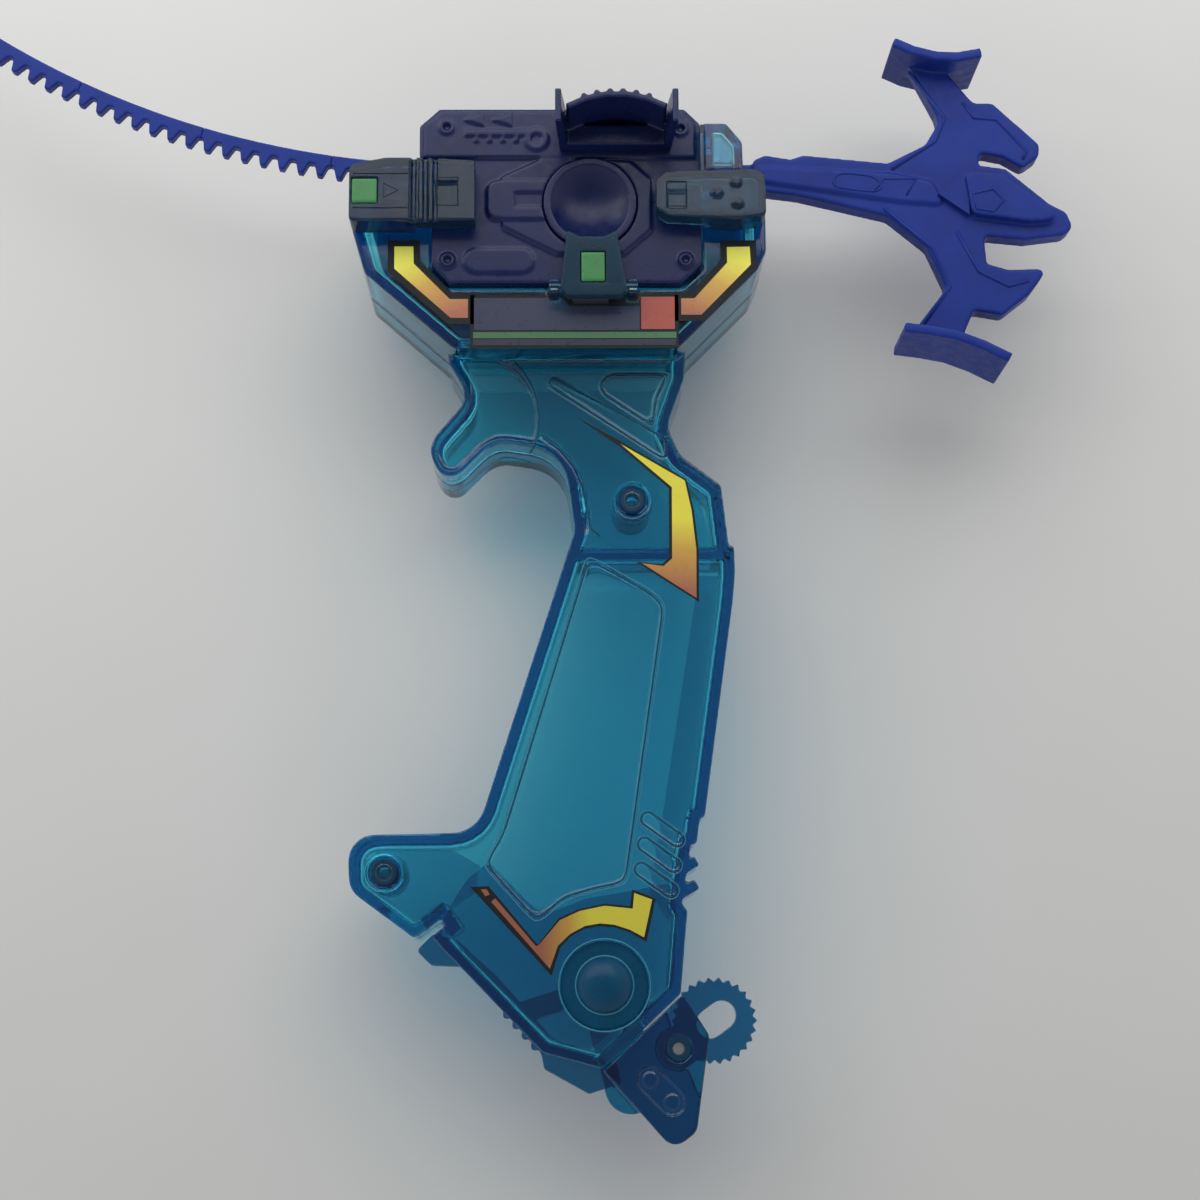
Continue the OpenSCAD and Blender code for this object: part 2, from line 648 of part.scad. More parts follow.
module latch_window() {
    color("mediumseagreen")
        block(latch_window_x, latch_window_y, [latch_z + latch_t - recess, latch_z + latch_t + fit]);
}
module latch_pin() { color("silver") latch_bore(latch_pin_r); }

// Leaf that presses the latch's lower end up
leaf_t = 0.5;
module latch_spring() {
    y = latch_shares[0][1] * cradle_l;
    x = latch_right / 2;
    color("silver") union() {
        block([-x, x], [y, y + latch_t / 2], [cradle_z, cradle_z + leaf_t]);
        block([-x, x], [y, y + leaf_t], [cradle_z, latch_z - fit / 3]);
        block([-x, x], [y, y + latch_t / 4], [latch_z - fit / 3 - leaf_t, latch_z - fit / 3]);
    }
}

// Foot

module hub_pin() { color("silver") post(hub, hub_pin_r, rear_z / 2, pin_top_z - fit); }

module hub_cap() {
    dome_h = dome_r / 2;
    ball_r = (dome_r * dome_r + dome_h * dome_h) / (2 * dome_h);
    span = asin(dome_r / ball_r);
    arc = [for (i = [0 : 2 * arc_steps]) let (a = span * (1 - i / (2 * arc_steps)))
        [ball_r * sin(a), recess / 2 + dome_h - ball_r + ball_r * cos(a)]];
    rim = [[0, 0], [hub_r - fit, 0], [hub_r - fit, recess / 2 - fit], [dome_r + wall / 2, recess / 2]];
    color("steelblue", 0.7) translate([hub.x, hub.y, grip_z - recess]) rotate_extrude()
        polygon(concat(rim, arc));
}

module rear_foot() {
    color("steelblue", 0.7) difference() {
        post(hub, foot_r, 0, rear_z);
        post(hub, hub_pin_r + fit / 2, rear_z / 2, rear_z + over);
    }
}

lever_ridge_shares = [[-0.52, -0.146], [-0.47, -0.202], [-0.42, -0.257], [-0.37, -0.313]];
lever_arm_share = [-0.443, -0.137];
module swing_lever() {
    line = [for (p = lever_shares) [hub.x + p[0] * lever_l, hub.y + p[1] * lever_l, p[2] * grip_round]];
    top = lever_z + lever_t;
    color("steelblue", 0.7) difference() {
        union() {
            slab(line, lever_z, top);
            post(hub, eye_r, lever_z, top);
            bar(hub, hub + lever_arm_share * lever_l, wall, lever_z, top);
            for (share = lever_ridge_shares) post(hub + share * lever_l, recess - fit, lever_z, top);
        }
        post(hub, hub_pin_r + running, lever_z - over, top + over);
    }
}

// Slot of the tail bracket in which the lanyard ring swings
ring_share = [0.3115, -0.8619];
ring_at = grip_at(ring_share);
ring_eye_r_share = 0.48;
ring_eye_r = ring_r * ring_eye_r_share;
ring_swing = 30;
ring_side_share = 0.97;
ring_room_share = 1.25;
ring_reach = norm(ring_at - tail_screw) + ring_r;
module ring_room() {
    aim = angle_to(tail_screw, ring_at);
    side = asin(min(ring_r / norm(ring_at - tail_screw), ring_side_share));
    z = ring_z - free;
    top = ring_z + ring_t + free;
    post(tail_screw, ring_eye_r + free, z, top);
    sector(tail_screw, 0, ring_reach * ring_room_share, aim - side - ring_swing - swing_margin,
        aim + side + swing_margin, z, top);
}
tail_dimple_shares = [[0.142, -0.934], [0.197, -0.961]];
module tail_bracket() {
    dimples = [for (share = tail_dimple_shares) grip_at(share)];
    color("steelblue", 0.7) difference() {
        union() {
            slab(in_grip(tail_shares), tail_z, grip_z);
            link(hub, tail_web, eye_r, tongue_z, tongue_z + tongue_t);
        }
        difference() {
            ring_room();
            post(hub, norm(tail_web - hub) / 2, ring_z - wall, ring_z + ring_t + wall);
        }
        post(hub, hub_pin_r + fit / 2, tongue_z - over, tongue_z + tongue_t + over);
        post(tail_screw, screw_r + fit, tail_z - over, grip_z + over);
        post(tail_screw, screw_head_r + fit, grip_z - screw_head_h - recess, grip_z + over);
        difference() {
            link(dimples[0], dimples[1], screw_head_r, grip_z - recess / 2, grip_z + over);
            for (p = dimples) post(p, screw_r, grip_z - recess, grip_z - fit);
        }
    }
}
module tail_screw() {
    head_z = grip_z - screw_head_h - recess;
    color("silver") union() {
        post(tail_screw, screw_head_r, head_z, head_z + screw_head_h);
        post(tail_screw, screw_r, tail_z + fit, head_z + over);
    }
}

ring_slot_share = 0.33;
ring_slot_end_shares = [-0.12, 0.22];
module lanyard_ring() {
    ridge = recess / 2;
    count = 4 * ring_ridges;
    rim = [for (i = [0 : count - 1]) let (a = 360 * i / count)
        (ring_r - ridge + ridge * cos(a * ring_ridges)) * at_angle(a)];
    away = unit(ring_at - tail_screw);
    slot = [for (share = ring_slot_end_shares) ring_at + away * ring_r * share];
    color("steelblue", 0.7) difference() {
        union() {
            translate([ring_at.x, ring_at.y, ring_z]) linear_extrude(ring_t) polygon(rim);
            link(ring_at - away * ring_eye_r, tail_screw, ring_eye_r, ring_z, ring_z + ring_t);
        }
        post(tail_screw, screw_r + running, ring_z - over, ring_z + ring_t + over);
        link(slot[0], slot[1], ring_r * ring_slot_share, ring_z - over, ring_z + ring_t + over);
    }
}

// Launcher unit

corner_shares = [[-0.51, 0.435], [0.325, 0.425], [-0.505, -0.32], [0.338, -0.32]];
function case_at(share) = [share.x * case_w, share.y * case_l];
module strip_slot() {
    half = strip_t / 2 + free;
    block([-case_w, case_w], [tip_y - free, spine_y + 2 * free], [strip_z - half, strip_z + half]);
}
tongue_shares = [[-0.365, -0.09, 2], [-0.15, -0.09, 0], [-0.15, 0.127, 0], [-0.365, 0.127, 2]];
tongue_slot_shares = [[-0.27, -0.024, 0], [-0.15, -0.024, 0], [-0.15, 0.063, 0], [-0.27, 0.063, 0]];
pill_shares = [[-0.405, -0.32], [-0.243, -0.32]];
pill_r_share = 0.066;
rack_sign_share = [-0.33, 0.385];
rack_sign_w_share = 0.225;
rack_sign_teeth_shares = [0.15, 0.36, 0.57, 0.78];
arrow_shares = [[-0.445, 0.475, 0], [-0.38, 0.44, 0], [-0.38, 0.513, 0]];
arrow_step_shares = [0, 0.1];
gear_sign_share = [-0.19, 0.365];
sign_t_share = 0.7;
sign_t = case_wall * sign_t_share;
module case_signs(z, top) {
    w = rack_sign_w_share * case_w;
    x = rack_sign_share.x * case_w - w / 2;
    y = rack_sign_share.y * case_l;
    block([x, x + w], [y, y + sign_t], [z, top]);
    for (share = rack_sign_teeth_shares)
        block([x + share * w, x + share * w + relief], [y - sign_t, y + over / 5], [z, top]);
    for (step = arrow_step_shares)
        slab([for (p = arrow_shares) [(p[0] + step) * case_w, p[1] * case_l, 0]], z, top);
    difference() {
        post(case_at(gear_sign_share), case_wall + relief, z, top);
        post(case_at(gear_sign_share), sign_t, z - over, top + over);
    }
}
function on_case(shares) = corners(shares, case_w, case_l, case_round, 0);
core_share = 0.7;
screw_core_r = screw_r * core_share;
guard_share = [0.0914, 0.3];
guard_foot_share = 0.11;
guard_at = case_at(guard_share);
guard_peg_shares = [-0.35, 0.35];
function guard_peg(share) = guard_at + [share * guard_w, guard_foot_share * case_l / 2];

module launcher_front_cover() {
    color("midnightblue") difference() {
        union() {
            difference() {
                slab(case_line(), strip_z, case_top_z);
                slab(shrink(case_line(), case_wall), strip_z - over, case_top_z - case_wall);
            }
            slab(on_case(upper_shares), case_top_z - over, upper_z);
            slab(on_case(field_shares), case_top_z - over, upper_z);
            difference() {
                slab(on_case(tongue_shares), case_top_z - over, upper_z + relief / 2);
                slab(on_case(tongue_slot_shares), case_top_z - over, upper_z + over);
            }
            link(case_at(pill_shares[0]), case_at(pill_shares[1]), case_l * pill_r_share,
                case_top_z - over, case_top_z + relief / 2);
            case_signs(upper_z - over, upper_z + relief / 2);
            for (share = corner_shares) {
                post(case_at(share), screw_r, case_top_z - over, upper_z + relief / 2);
                post(case_at(share), screw_r + case_wall / 2, strip_z, case_top_z - case_wall / 2);
            }
        }
        post([0, 0], dish_r - dish_ring + fit, case_top_z - case_wall - over, upper_z + over);
        post([0, 0], dish_r + fit, case_top_z - case_wall / 2, upper_z + over);
        for (share = corner_shares) {
            post(case_at(share), screw_r / 2, case_top_z + over / 5, upper_z + 2 * over);
            post(case_at(share), screw_core_r, strip_z - over, case_top_z - 2 * case_wall);
        }
        for (share = guard_peg_shares)
            post(guard_peg(share), recess + fit / 2, case_top_z - case_wall - over, upper_z + over);
        strip_slot();
    }
}

bearing_r = shaft_r + case_wall;
bearing_top_z = strip_z - gear_w / 2 - case_wall - 2 * free;
module launcher_rear_cover() {
    color("midnightblue") difference() {
        union() {
            difference() {
                slab(case_line(), case_z, strip_z);
                slab(shrink(case_line(), case_wall), case_z + case_wall, strip_z + over);
            }
            post([0, 0], bearing_r + case_wall, case_z, bearing_top_z);
            for (share = corner_shares) post(case_at(share), screw_r + case_wall / 2, case_z, strip_z);
        }
        post([0, 0], bearing_r + fit / 3, case_z - over, bearing_top_z + over);
        for (share = corner_shares) {
            post(case_at(share), screw_core_r + fit, case_z - over, strip_z + over);
            post(case_at(share), screw_r + fit, case_z - over, case_z + screw_head_h);
        }
        strip_slot();
    }
}

module launcher_screws() {
    color("silver") for (share = corner_shares) {
        post(case_at(share), screw_r, case_z + fit, case_z + screw_head_h - fit);
        post(case_at(share), screw_core_r - fit / 5, case_z + fit, case_top_z - 2 * case_wall - fit);
    }
}

cap_boss_z = strip_z + gear_w / 2 + free;
module dish_cap() {
    top = upper_z + relief;
    inner = dish_r - dish_ring;
    ball_r = (inner * inner + dish_depth * dish_depth) / (2 * dish_depth);
    span = asin(inner / ball_r);
    bowl = [for (i = [0 : 2 * arc_steps]) let (a = span * i / (2 * arc_steps))
        [ball_r * sin(a), top - dish_depth + ball_r - ball_r * cos(a)]];
    seat_z = case_top_z - case_wall / 2;
    under_z = top - dish_depth - case_wall;
    back = [[dish_r, top], [dish_r, seat_z], [inner, seat_z], [inner, under_z]];
    boss = [
        [bearing_r + case_wall, under_z], [bearing_r + case_wall, cap_boss_z],
        [bearing_r + fit / 3, cap_boss_z], [bearing_r + fit / 3, under_z - fit], [0, under_z - fit]
    ];
    color("midnightblue") rotate_extrude() polygon(concat(bowl, back, boss));
}

rib_turn_shares = [-0.62, -0.37, -0.12, 0.12, 0.37, 0.62];
sag_share = 0.134;
// Side blade of the guard, seen from the front, leaning outward toward its tip
blade_lean_share = 0.045;
function blade(side, z, top) =
    let (foot = guard_w / 2 - guard_t / 2, lean = guard_w * blade_lean_share)
    [
        [side * foot, z], [side * (foot + 3 * guard_t / 2), z],
        [side * (foot + 3 * guard_t / 2 + lean), top], [side * (foot + guard_t / 2 + lean), top]
    ];
module ribbed_guard() {
    sag = guard_w * sag_share;
    r = (guard_w * guard_w / 4 + sag * sag) / (2 * sag);
    half = asin(guard_w / 2 / r);
    mid = guard_at + [0, guard_foot_share * case_l + sag - r];
    foot = guard_foot_share * case_l;
    top = upper_z + guard_h;
    color("midnightblue") union() {
        sector(mid, r - guard_t, r, 90 - half, 90 + half, upper_z, top);
        for (share = rib_turn_shares) {
            a = 90 + half * share;
            post(mid + r * at_angle(a), guard_t / 2, upper_z, top);
        }
        block([guard_at.x - guard_w / 2, guard_at.x + guard_w / 2], [guard_at.y, guard_at.y + foot],
            [upper_z, upper_z + 3 * guard_t]);
        for (side = [-1, 1]) translate([guard_at.x, guard_at.y + foot + sag, 0]) rotate([90, 0, 0])
            linear_extrude(foot + sag) polygon(blade(side, upper_z, top + guard_t));
        for (share = guard_peg_shares)
            post(guard_peg(share), recess, case_top_z - case_wall, upper_z + over);
    }
}

module bush(z, top) {
    color("gold") difference() {
        post([0, 0], bearing_r, z, top);
        post([0, 0], shaft_r + running, z - over, top + over);
    }
}
shaft_top_z = upper_z + relief - dish_depth - case_wall - 2 * fit;
module front_bush() { bush(cap_boss_z + fit, shaft_top_z); }
module rear_bush() { bush(case_z + fit, bearing_top_z - fit); }

guide_shares = [-0.2, 0.2];
module rack_guide() {
    y = [spine_y + 2 * free, case_shares[4][1] * case_l - case_wall - fit];
    color("white") block(guide_shares * case_w, y, [case_z + case_wall, case_top_z - case_wall - fit]);
}

// Drive

rotor_z = rear_z - rotor_t;
module drive_shaft() { color("silver") post([0, 0], shaft_r, rotor_z + fit, shaft_top_z - fit); }

// Tooth outline of the gear, with involute flanks
function involute(base, r) = let (a = acos(min(base / r, 1))) tan(a) * 180 / PI - a;
function gear_line() =
    let (base = pitch_r * cos(pressure_angle), tip = pitch_r + addendum, root = pitch_r - dedendum)
    let (half = (90 / gear_teeth) - backlash / 2 / pitch_r * 180 / PI)
    let (radii = [for (i = [0 : arc_steps]) max(base, root) + (tip - max(base, root)) * i / arc_steps])
    let (at = [for (r = radii) half + involute(base, pitch_r) - involute(base, r)])
    [for (k = [0 : gear_teeth - 1])
        let (mid = 90 + (k + 0.5) * 360 / gear_teeth)
        each concat(
            [root * at_angle(mid - at[0])],
            [for (i = [0 : arc_steps]) radii[i] * at_angle(mid - at[i])],
            [for (i = [arc_steps : -1 : 0]) radii[i] * at_angle(mid + at[i])],
            [root * at_angle(mid + at[0])]
        )];
module drive_gear() {
    z = strip_z - gear_w / 2;
    color("whitesmoke") difference() {
        translate([0, 0, z]) linear_extrude(gear_w) polygon(gear_line());
        post([0, 0], shaft_r + fit / 10, z - over, z + gear_w + over);
    }
}

ratchet_r_share = 0.7;
ratchet_lead = 8;
module ratchet_disc() {
    z = bearing_top_z + free;
    top = strip_z - gear_w / 2 - fit / 3;
    r = pitch_r * ratchet_r_share;
    teeth = gear_teeth / 2;
    line = [for (k = [0 : teeth - 1]) let (a = 360 * k / teeth)
        each [r * at_angle(a), (r - recess) * at_angle(a + ratchet_lead)]];
    color("whitesmoke") difference() {
        translate([0, 0, z]) linear_extrude(top - z) polygon(line);
        post([0, 0], shaft_r + fit / 10, z - over, top + over);
    }
}

// Rotor plate with two hooked prongs that carry the spinning top
module prong() {
    r = rotor_r - prong_t;
    block([r, rotor_r], [-prong_w / 2, prong_w / 2], [0, rotor_z + over]);
    block([r - prong_t / 2, rotor_r], [-prong_w / 2, prong_w / 2], [0, prong_t]);
}
module rotor() {
    color("darkslateblue") difference() {
        union() {
            intersection() {
                post([0, 0], rotor_r, 0, rotor_z + over);
                for (a = [0, 180]) rotate([0, 0, a]) prong();
            }
            post([0, 0], rotor_r, rotor_z, rear_z);
            post([0, 0], bearing_r, rear_z - over, case_z);
        }
        post([0, 0], shaft_r + fit / 10, rotor_z - over, case_z + over);
    }
}
// Spigot that centres the spinning top between the prongs
module rotor_spigot() { color("silver") post([0, 0], bearing_r, 0, rotor_z); }

// Ripcord

// Point at a distance along the tail and a height above the roots of its teeth
function on_tail(s, h) =
    let (a = s / bend_r * 180 / PI)
    [joint_x - (bend_r - h) * sin(a), root_y + bend_r - (bend_r - h) * cos(a)];
tooth_half_tip = pitch / 4 - backlash / 4 - addendum * tan(pressure_angle);
tooth_half_root = pitch / 4 - backlash / 4 + dedendum * tan(pressure_angle);
function tooth(s) = [
    [s - tooth_half_root, 0], [s - tooth_half_tip, tip_y - root_y], [s + tooth_half_tip, tip_y - root_y],
    [s + tooth_half_root, 0]
];
module strip_tail(k) {
    from = k * tail_l;
    under = [for (i = [0 : tail_teeth - 1]) each tooth(from + (i + 0.5) * pitch)];
    under_line = [for (p = concat([[from, 0]], under, [[from + tail_l, 0]])) on_tail(p[0], p[1])];
    over_line = [for (i = [tail_teeth : -1 : 0]) on_tail(from + i * pitch, spine_h)];
    color("royalblue") translate([0, 0, strip_z - strip_t / 2]) linear_extrude(strip_t)
        polygon(concat(under_line, over_line));
}
module strip_tail_1() { strip_tail(0); }
module strip_tail_2() { strip_tail(1); }
module strip_tail_3() { strip_tail(2); }
module strip_tail_4() { strip_tail(3); }
module strip_tail_5() { strip_tail(4); }

// Curved upright plate along a row of places on the pull handle
module winglet(shares) {
    run = [for (p = shares) [pull_x + p[0] * pull_l, pull_y + p[1] * pull_w]];
    side = [for (i = [0 : len(run) - 1])
        let (d = unit(run[min(i + 1, len(run) - 1)] - run[max(i - 1, 0)])) [-d.y, d.x] * winglet_t / 2];
    right = [for (i = [0 : len(run) - 1]) run[i] - side[i]];
    left = [for (i = [len(run) - 1 : -1 : 0]) run[i] + side[i]];
    translate([0, 0, strip_z - winglet_h / 2]) linear_extrude(winglet_h) polygon(concat(right, left));
}
module ripcord() {
    under = [for (i = [-straight_teeth : straight_teeth]) each tooth(i * pitch)];
    under_line = concat([[joint_x, 0]], under, [[pull_x + wall, 0]]);
    over_line = [[pull_x + wall, spine_y], [joint_x, spine_y]];
    line = concat([for (p = under_line) [p[0], p[1] + root_y]], over_line);
    z = strip_z - pull_t / 2;
    color("royalblue") union() {
        translate([0, 0, strip_z - strip_t / 2]) linear_extrude(strip_t) polygon(line);
        slab(in_pull(pull_shares), z, z + pull_t);
        slab(in_pull(canopy_shares), z + pull_t - over, z + pull_t + wall);
        slab(in_pull(rib_shares), z + pull_t - over, z + pull_t + relief);
        winglet(upper_tip_shares);
        winglet(lower_tip_shares);
    }
}

front_shell();
rear_shell();
grip_screws();
fixed_clamp();
lock_slider();
lock_window();
release_latch();
latch_window();
latch_pin();
latch_spring();
hub_pin();
hub_cap();
rear_foot();
swing_lever();
tail_bracket();
tail_screw();
lanyard_ring();
launcher_front_cover();
launcher_rear_cover();
launcher_screws();
dish_cap();
ribbed_guard();
front_bush();
rear_bush();
rack_guide();
drive_shaft();
drive_gear();
ratchet_disc();
rotor();
rotor_spigot();
ripcord();
strip_tail_1();
strip_tail_2();
strip_tail_3();
strip_tail_4();
strip_tail_5();
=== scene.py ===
"""Looks of the spinning top launcher: clear and satin plastics, rounded edges, stickers and fine mouldings."""
import json
import math

import bmesh
import bpy
from mathutils import Matrix, Vector


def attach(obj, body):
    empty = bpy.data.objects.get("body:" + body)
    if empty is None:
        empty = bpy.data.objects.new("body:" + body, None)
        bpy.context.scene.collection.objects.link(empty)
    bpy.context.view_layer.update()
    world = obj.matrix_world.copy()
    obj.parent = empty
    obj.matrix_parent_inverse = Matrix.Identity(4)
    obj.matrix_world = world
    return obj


MM = 0.001
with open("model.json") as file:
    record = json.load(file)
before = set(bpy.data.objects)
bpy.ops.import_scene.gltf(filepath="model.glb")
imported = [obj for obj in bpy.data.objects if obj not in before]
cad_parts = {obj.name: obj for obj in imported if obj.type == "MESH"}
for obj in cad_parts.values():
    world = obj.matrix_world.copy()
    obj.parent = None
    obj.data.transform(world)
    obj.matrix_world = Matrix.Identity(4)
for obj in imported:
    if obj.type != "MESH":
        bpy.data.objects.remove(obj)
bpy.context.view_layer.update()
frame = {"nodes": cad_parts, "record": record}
scene = bpy.context.scene
scene.view_settings.view_transform = "Standard"
# Enough bounces to see through both shells and the webs between them
scene.cycles.transparent_max_bounces = 32
scene.cycles.transmission_bounces = 24
scene.cycles.max_bounces = 24
nodes = frame["nodes"]

# Heights of the faces that carry details, in millimetres
GRIP_FACE = 31.0
CRADLE_FACE = 39.95
LOCK_FACE = 48.0
PULL_FACE = 28.5


# Materials. Noise scales are in cells per metre.


def new_material(name):
    mat = bpy.data.materials.new(name)
    mat.use_nodes = True
    tree = mat.node_tree
    tree.nodes.clear()
    out = tree.nodes.new("ShaderNodeOutputMaterial")
    return mat, tree, out


def add(tree, kind, **values):
    """A node of that kind. Each value sets a property or else the input of that name, with _ for a space."""
    node = tree.nodes.new(kind)
    for key, value in values.items():
        if hasattr(node, key):
            setattr(node, key, value)
        else:
            node.inputs[key.replace("_", " ")].default_value = value
    return node


def object_point(tree):
    return add(tree, "ShaderNodeTexCoord").outputs["Object"]


def noise(tree, point, scale, detail=3.0, rough=0.55):
    node = add(tree, "ShaderNodeTexNoise", Scale=scale, Detail=detail, Roughness=rough)
    tree.links.new(point, node.inputs["Vector"])
    return node.outputs["Fac"]


def ramp(tree, value, stops):
    node = add(tree, "ShaderNodeValToRGB")
    band = node.color_ramp
    while len(band.elements) < len(stops):
        band.elements.new(0.5)
    for element, (place, colour) in zip(band.elements, stops):
        element.position = place
        element.color = (*colour, 1.0)
    tree.links.new(value, node.inputs["Fac"])
    return node.outputs["Color"]


def spread(tree, value, low, high, start=0.3, stop=0.7):
    """The value carried over from the range start to stop, which holds most of a noise, to the range low to high."""
    node = add(tree, "ShaderNodeMapRange", From_Min=start, From_Max=stop, To_Min=low, To_Max=high)
    tree.links.new(value, node.inputs["Value"])
    return node.outputs["Result"]


def bump(tree, height, strength, distance):
    node = add(tree, "ShaderNodeBump", Strength=strength, Distance=distance)
    tree.links.new(height, node.inputs["Height"])
    return node.outputs["Normal"]


def scaled(colour, factor):
    return tuple(min(1.0, c * factor) for c in colour)


def cloudy(tree, point, scale, colour, change):
    """The colour, which drifts darker and lighter by a share of itself."""
    stops = [(0.25, scaled(colour, 1.0 - change)), (0.75, scaled(colour, 1.0 + change))]
    return ramp(tree, noise(tree, point, scale), stops)


def moulded(name, colour, rough, coarse=120.0, metal=0.0, gloss=0.5):
    """Satin moulded plastic or plated metal, with cloudy colour, handling marks and a fine grain."""
    mat, tree, out = new_material(name)
    point = object_point(tree)
    bsdf = add(tree, "ShaderNodeBsdfPrincipled", Metallic=metal, Specular_IOR_Level=gloss)
    marks = noise(tree, point, coarse * 4.0, detail=5.0, rough=0.65)
    grain = noise(tree, point, 2500.0, detail=2.0)
    tree.links.new(cloudy(tree, point, coarse, colour, change=0.15), bsdf.inputs["Base Color"])
    tree.links.new(spread(tree, marks, rough * 0.75, rough * 1.35), bsdf.inputs["Roughness"])
    tree.links.new(bump(tree, grain, strength=0.06, distance=0.2 * MM), bsdf.inputs["Normal"])
    tree.links.new(bsdf.outputs["BSDF"], out.inputs["Surface"])
    return mat


def clear(name, haze_colour, haze, absorb, density, rough):
    """Tinted clear plastic: it bends what is seen through it, lets the lamps through and tints with thickness."""
    mat, tree, out = new_material(name)
    point = object_point(tree)
    link = tree.links.new

    glass = add(tree, "ShaderNodeBsdfGlass", IOR=1.49)
    marks = noise(tree, point, 300.0, detail=5.0, rough=0.65)
    ripple = noise(tree, point, 500.0, detail=2.0)
    link(spread(tree, marks, rough * 0.6, rough * 1.5), glass.inputs["Roughness"])
    link(bump(tree, ripple, strength=0.03, distance=0.2 * MM), glass.inputs["Normal"])

    # Shadow rays and diffuse rays go straight through
    straight = add(tree, "ShaderNodeBsdfTransparent", Color=(0.94, 0.96, 0.97, 1.0))
    path = add(tree, "ShaderNodeLightPath")
    lit = add(tree, "ShaderNodeMath", operation="MAXIMUM")
    link(path.outputs["Is Shadow Ray"], lit.inputs[0])
    link(path.outputs["Is Diffuse Ray"], lit.inputs[1])
    see = add(tree, "ShaderNodeMixShader")
    link(lit.outputs["Value"], see.inputs["Fac"])
    link(glass.outputs["BSDF"], see.inputs[1])
    link(straight.outputs["BSDF"], see.inputs[2])

    # A share of the surface is milky
    body = add(tree, "ShaderNodeBsdfPrincipled", Roughness=0.6, Specular_IOR_Level=0.0)
    link(cloudy(tree, point, 60.0, haze_colour, change=0.2), body.inputs["Base Color"])
    milky = add(tree, "ShaderNodeMixShader")
    scuffs = noise(tree, point, 120.0, detail=2.0, rough=0.5)
    link(spread(tree, scuffs, haze * 0.85, haze * 1.15), milky.inputs["Fac"])
    link(see.outputs["Shader"], milky.inputs[1])
    link(body.outputs["BSDF"], milky.inputs[2])
    link(milky.outputs["Shader"], out.inputs["Surface"])

    inside = add(tree, "ShaderNodeVolumeAbsorption", Color=(*absorb, 1.0), Density=density)
    link(inside.outputs["Volume"], out.inputs["Volume"])
    return mat


def printed(name, stops, direction, start, stop):
    """Printed sticker with handling marks, whose colour runs along a direction between two distances in millimetres."""
    rough, wander = 0.32, 1.2 * MM
    mat, tree, out = new_material(name)
    point = object_point(tree)
    bsdf = add(tree, "ShaderNodeBsdfPrincipled")
    along = add(tree, "ShaderNodeVectorMath", operation="DOT_PRODUCT")
    tree.links.new(point, along.inputs[0])
    along.inputs[1].default_value = direction
    wobble = add(tree, "ShaderNodeMath", operation="MULTIPLY_ADD")
    wobble.inputs[1].default_value = wander
    tree.links.new(noise(tree, point, 900.0, detail=2.0), wobble.inputs[0])
    tree.links.new(along.outputs["Value"], wobble.inputs[2])
    place = spread(tree, wobble.outputs["Value"], 0.0, 1.0, start * MM, stop * MM)
    marks = noise(tree, point, 500.0, detail=5.0, rough=0.7)
    grain = noise(tree, point, 1800.0, detail=2.0)
    tree.links.new(ramp(tree, place, stops), bsdf.inputs["Base Color"])
    tree.links.new(spread(tree, marks, rough * 0.7, rough * 1.4), bsdf.inputs["Roughness"])
    tree.links.new(bump(tree, grain, strength=0.05, distance=0.1 * MM), bsdf.inputs["Normal"])
    tree.links.new(bsdf.outputs["BSDF"], out.inputs["Surface"])
    return mat


# Colour that the deeper clear plastics let through, and colour of their haze
DEEP_TINT = (0.02, 0.60, 0.78)
DEEP_HAZE = (0.01, 0.13, 0.22)
TEAL = clear("clear_teal", (0.01, 0.16, 0.26), haze=0.008, absorb=(0.02, 0.82, 0.92), density=490.0, rough=0.08)
DEEP = clear("deep_teal", DEEP_HAZE, haze=0.01, absorb=DEEP_TINT, density=700.0, rough=0.08)
MID = clear("mid_teal", DEEP_HAZE, haze=0.02, absorb=(0.02, 0.71, 0.85), density=620.0, rough=0.08)
SMOKE = clear("smoky_teal", (0.020, 0.052, 0.09), haze=0.32, absorb=DEEP_TINT, density=700.0, rough=0.10)
RING = clear("ring_teal", DEEP_HAZE, haze=0.01, absorb=DEEP_TINT, density=1000.0, rough=0.08)
VEIL = clear("veiled_teal", (0.024, 0.056, 0.09), haze=0.72, absorb=DEEP_TINT, density=700.0, rough=0.12)
DOME = moulded("dome_teal", (0.004, 0.06, 0.13), rough=0.24, gloss=0.15)
# Dark opaque teal for the rings of painted shade in the screw wells
WELL_SHADE = moulded("well_painted_shade", (0.004, 0.035, 0.08), rough=0.35, gloss=0.3)
NAVY = moulded("navy_plastic", (0.006, 0.012, 0.068), rough=0.3, gloss=0.34)
BLUE = moulded("cord_plastic", (0.010, 0.030, 0.23), rough=0.4, gloss=0.18)
GREEN = moulded("green_plastic", (0.035, 0.20, 0.055), rough=0.3)
STEEL = moulded("zinc_steel", (0.45, 0.46, 0.48), rough=0.32, metal=1.0)
BRONZE = moulded("bush_bronze", (0.55, 0.36, 0.16), rough=0.4, metal=1.0)
WHITE = moulded("white_plastic", (0.72, 0.72, 0.68), rough=0.4)
DARK = moulded("rotor_plastic", (0.012, 0.012, 0.03), rough=0.42)
BLACK = moulded("printed_black", (0.010, 0.012, 0.014), rough=0.45, coarse=400.0, gloss=0.25)
# Pale glossy teal for the lines of painted highlight along edges and rims
EDGE_HIGHLIGHT = moulded("painted_highlight_teal", (0.03, 0.20, 0.30), rough=0.2, gloss=0.6)
# Dark teal for the lines of painted shade in the grip's grooves
SHADE = moulded("groove_painted_shade", (0.004, 0.05, 0.10), rough=0.4, gloss=0.3)
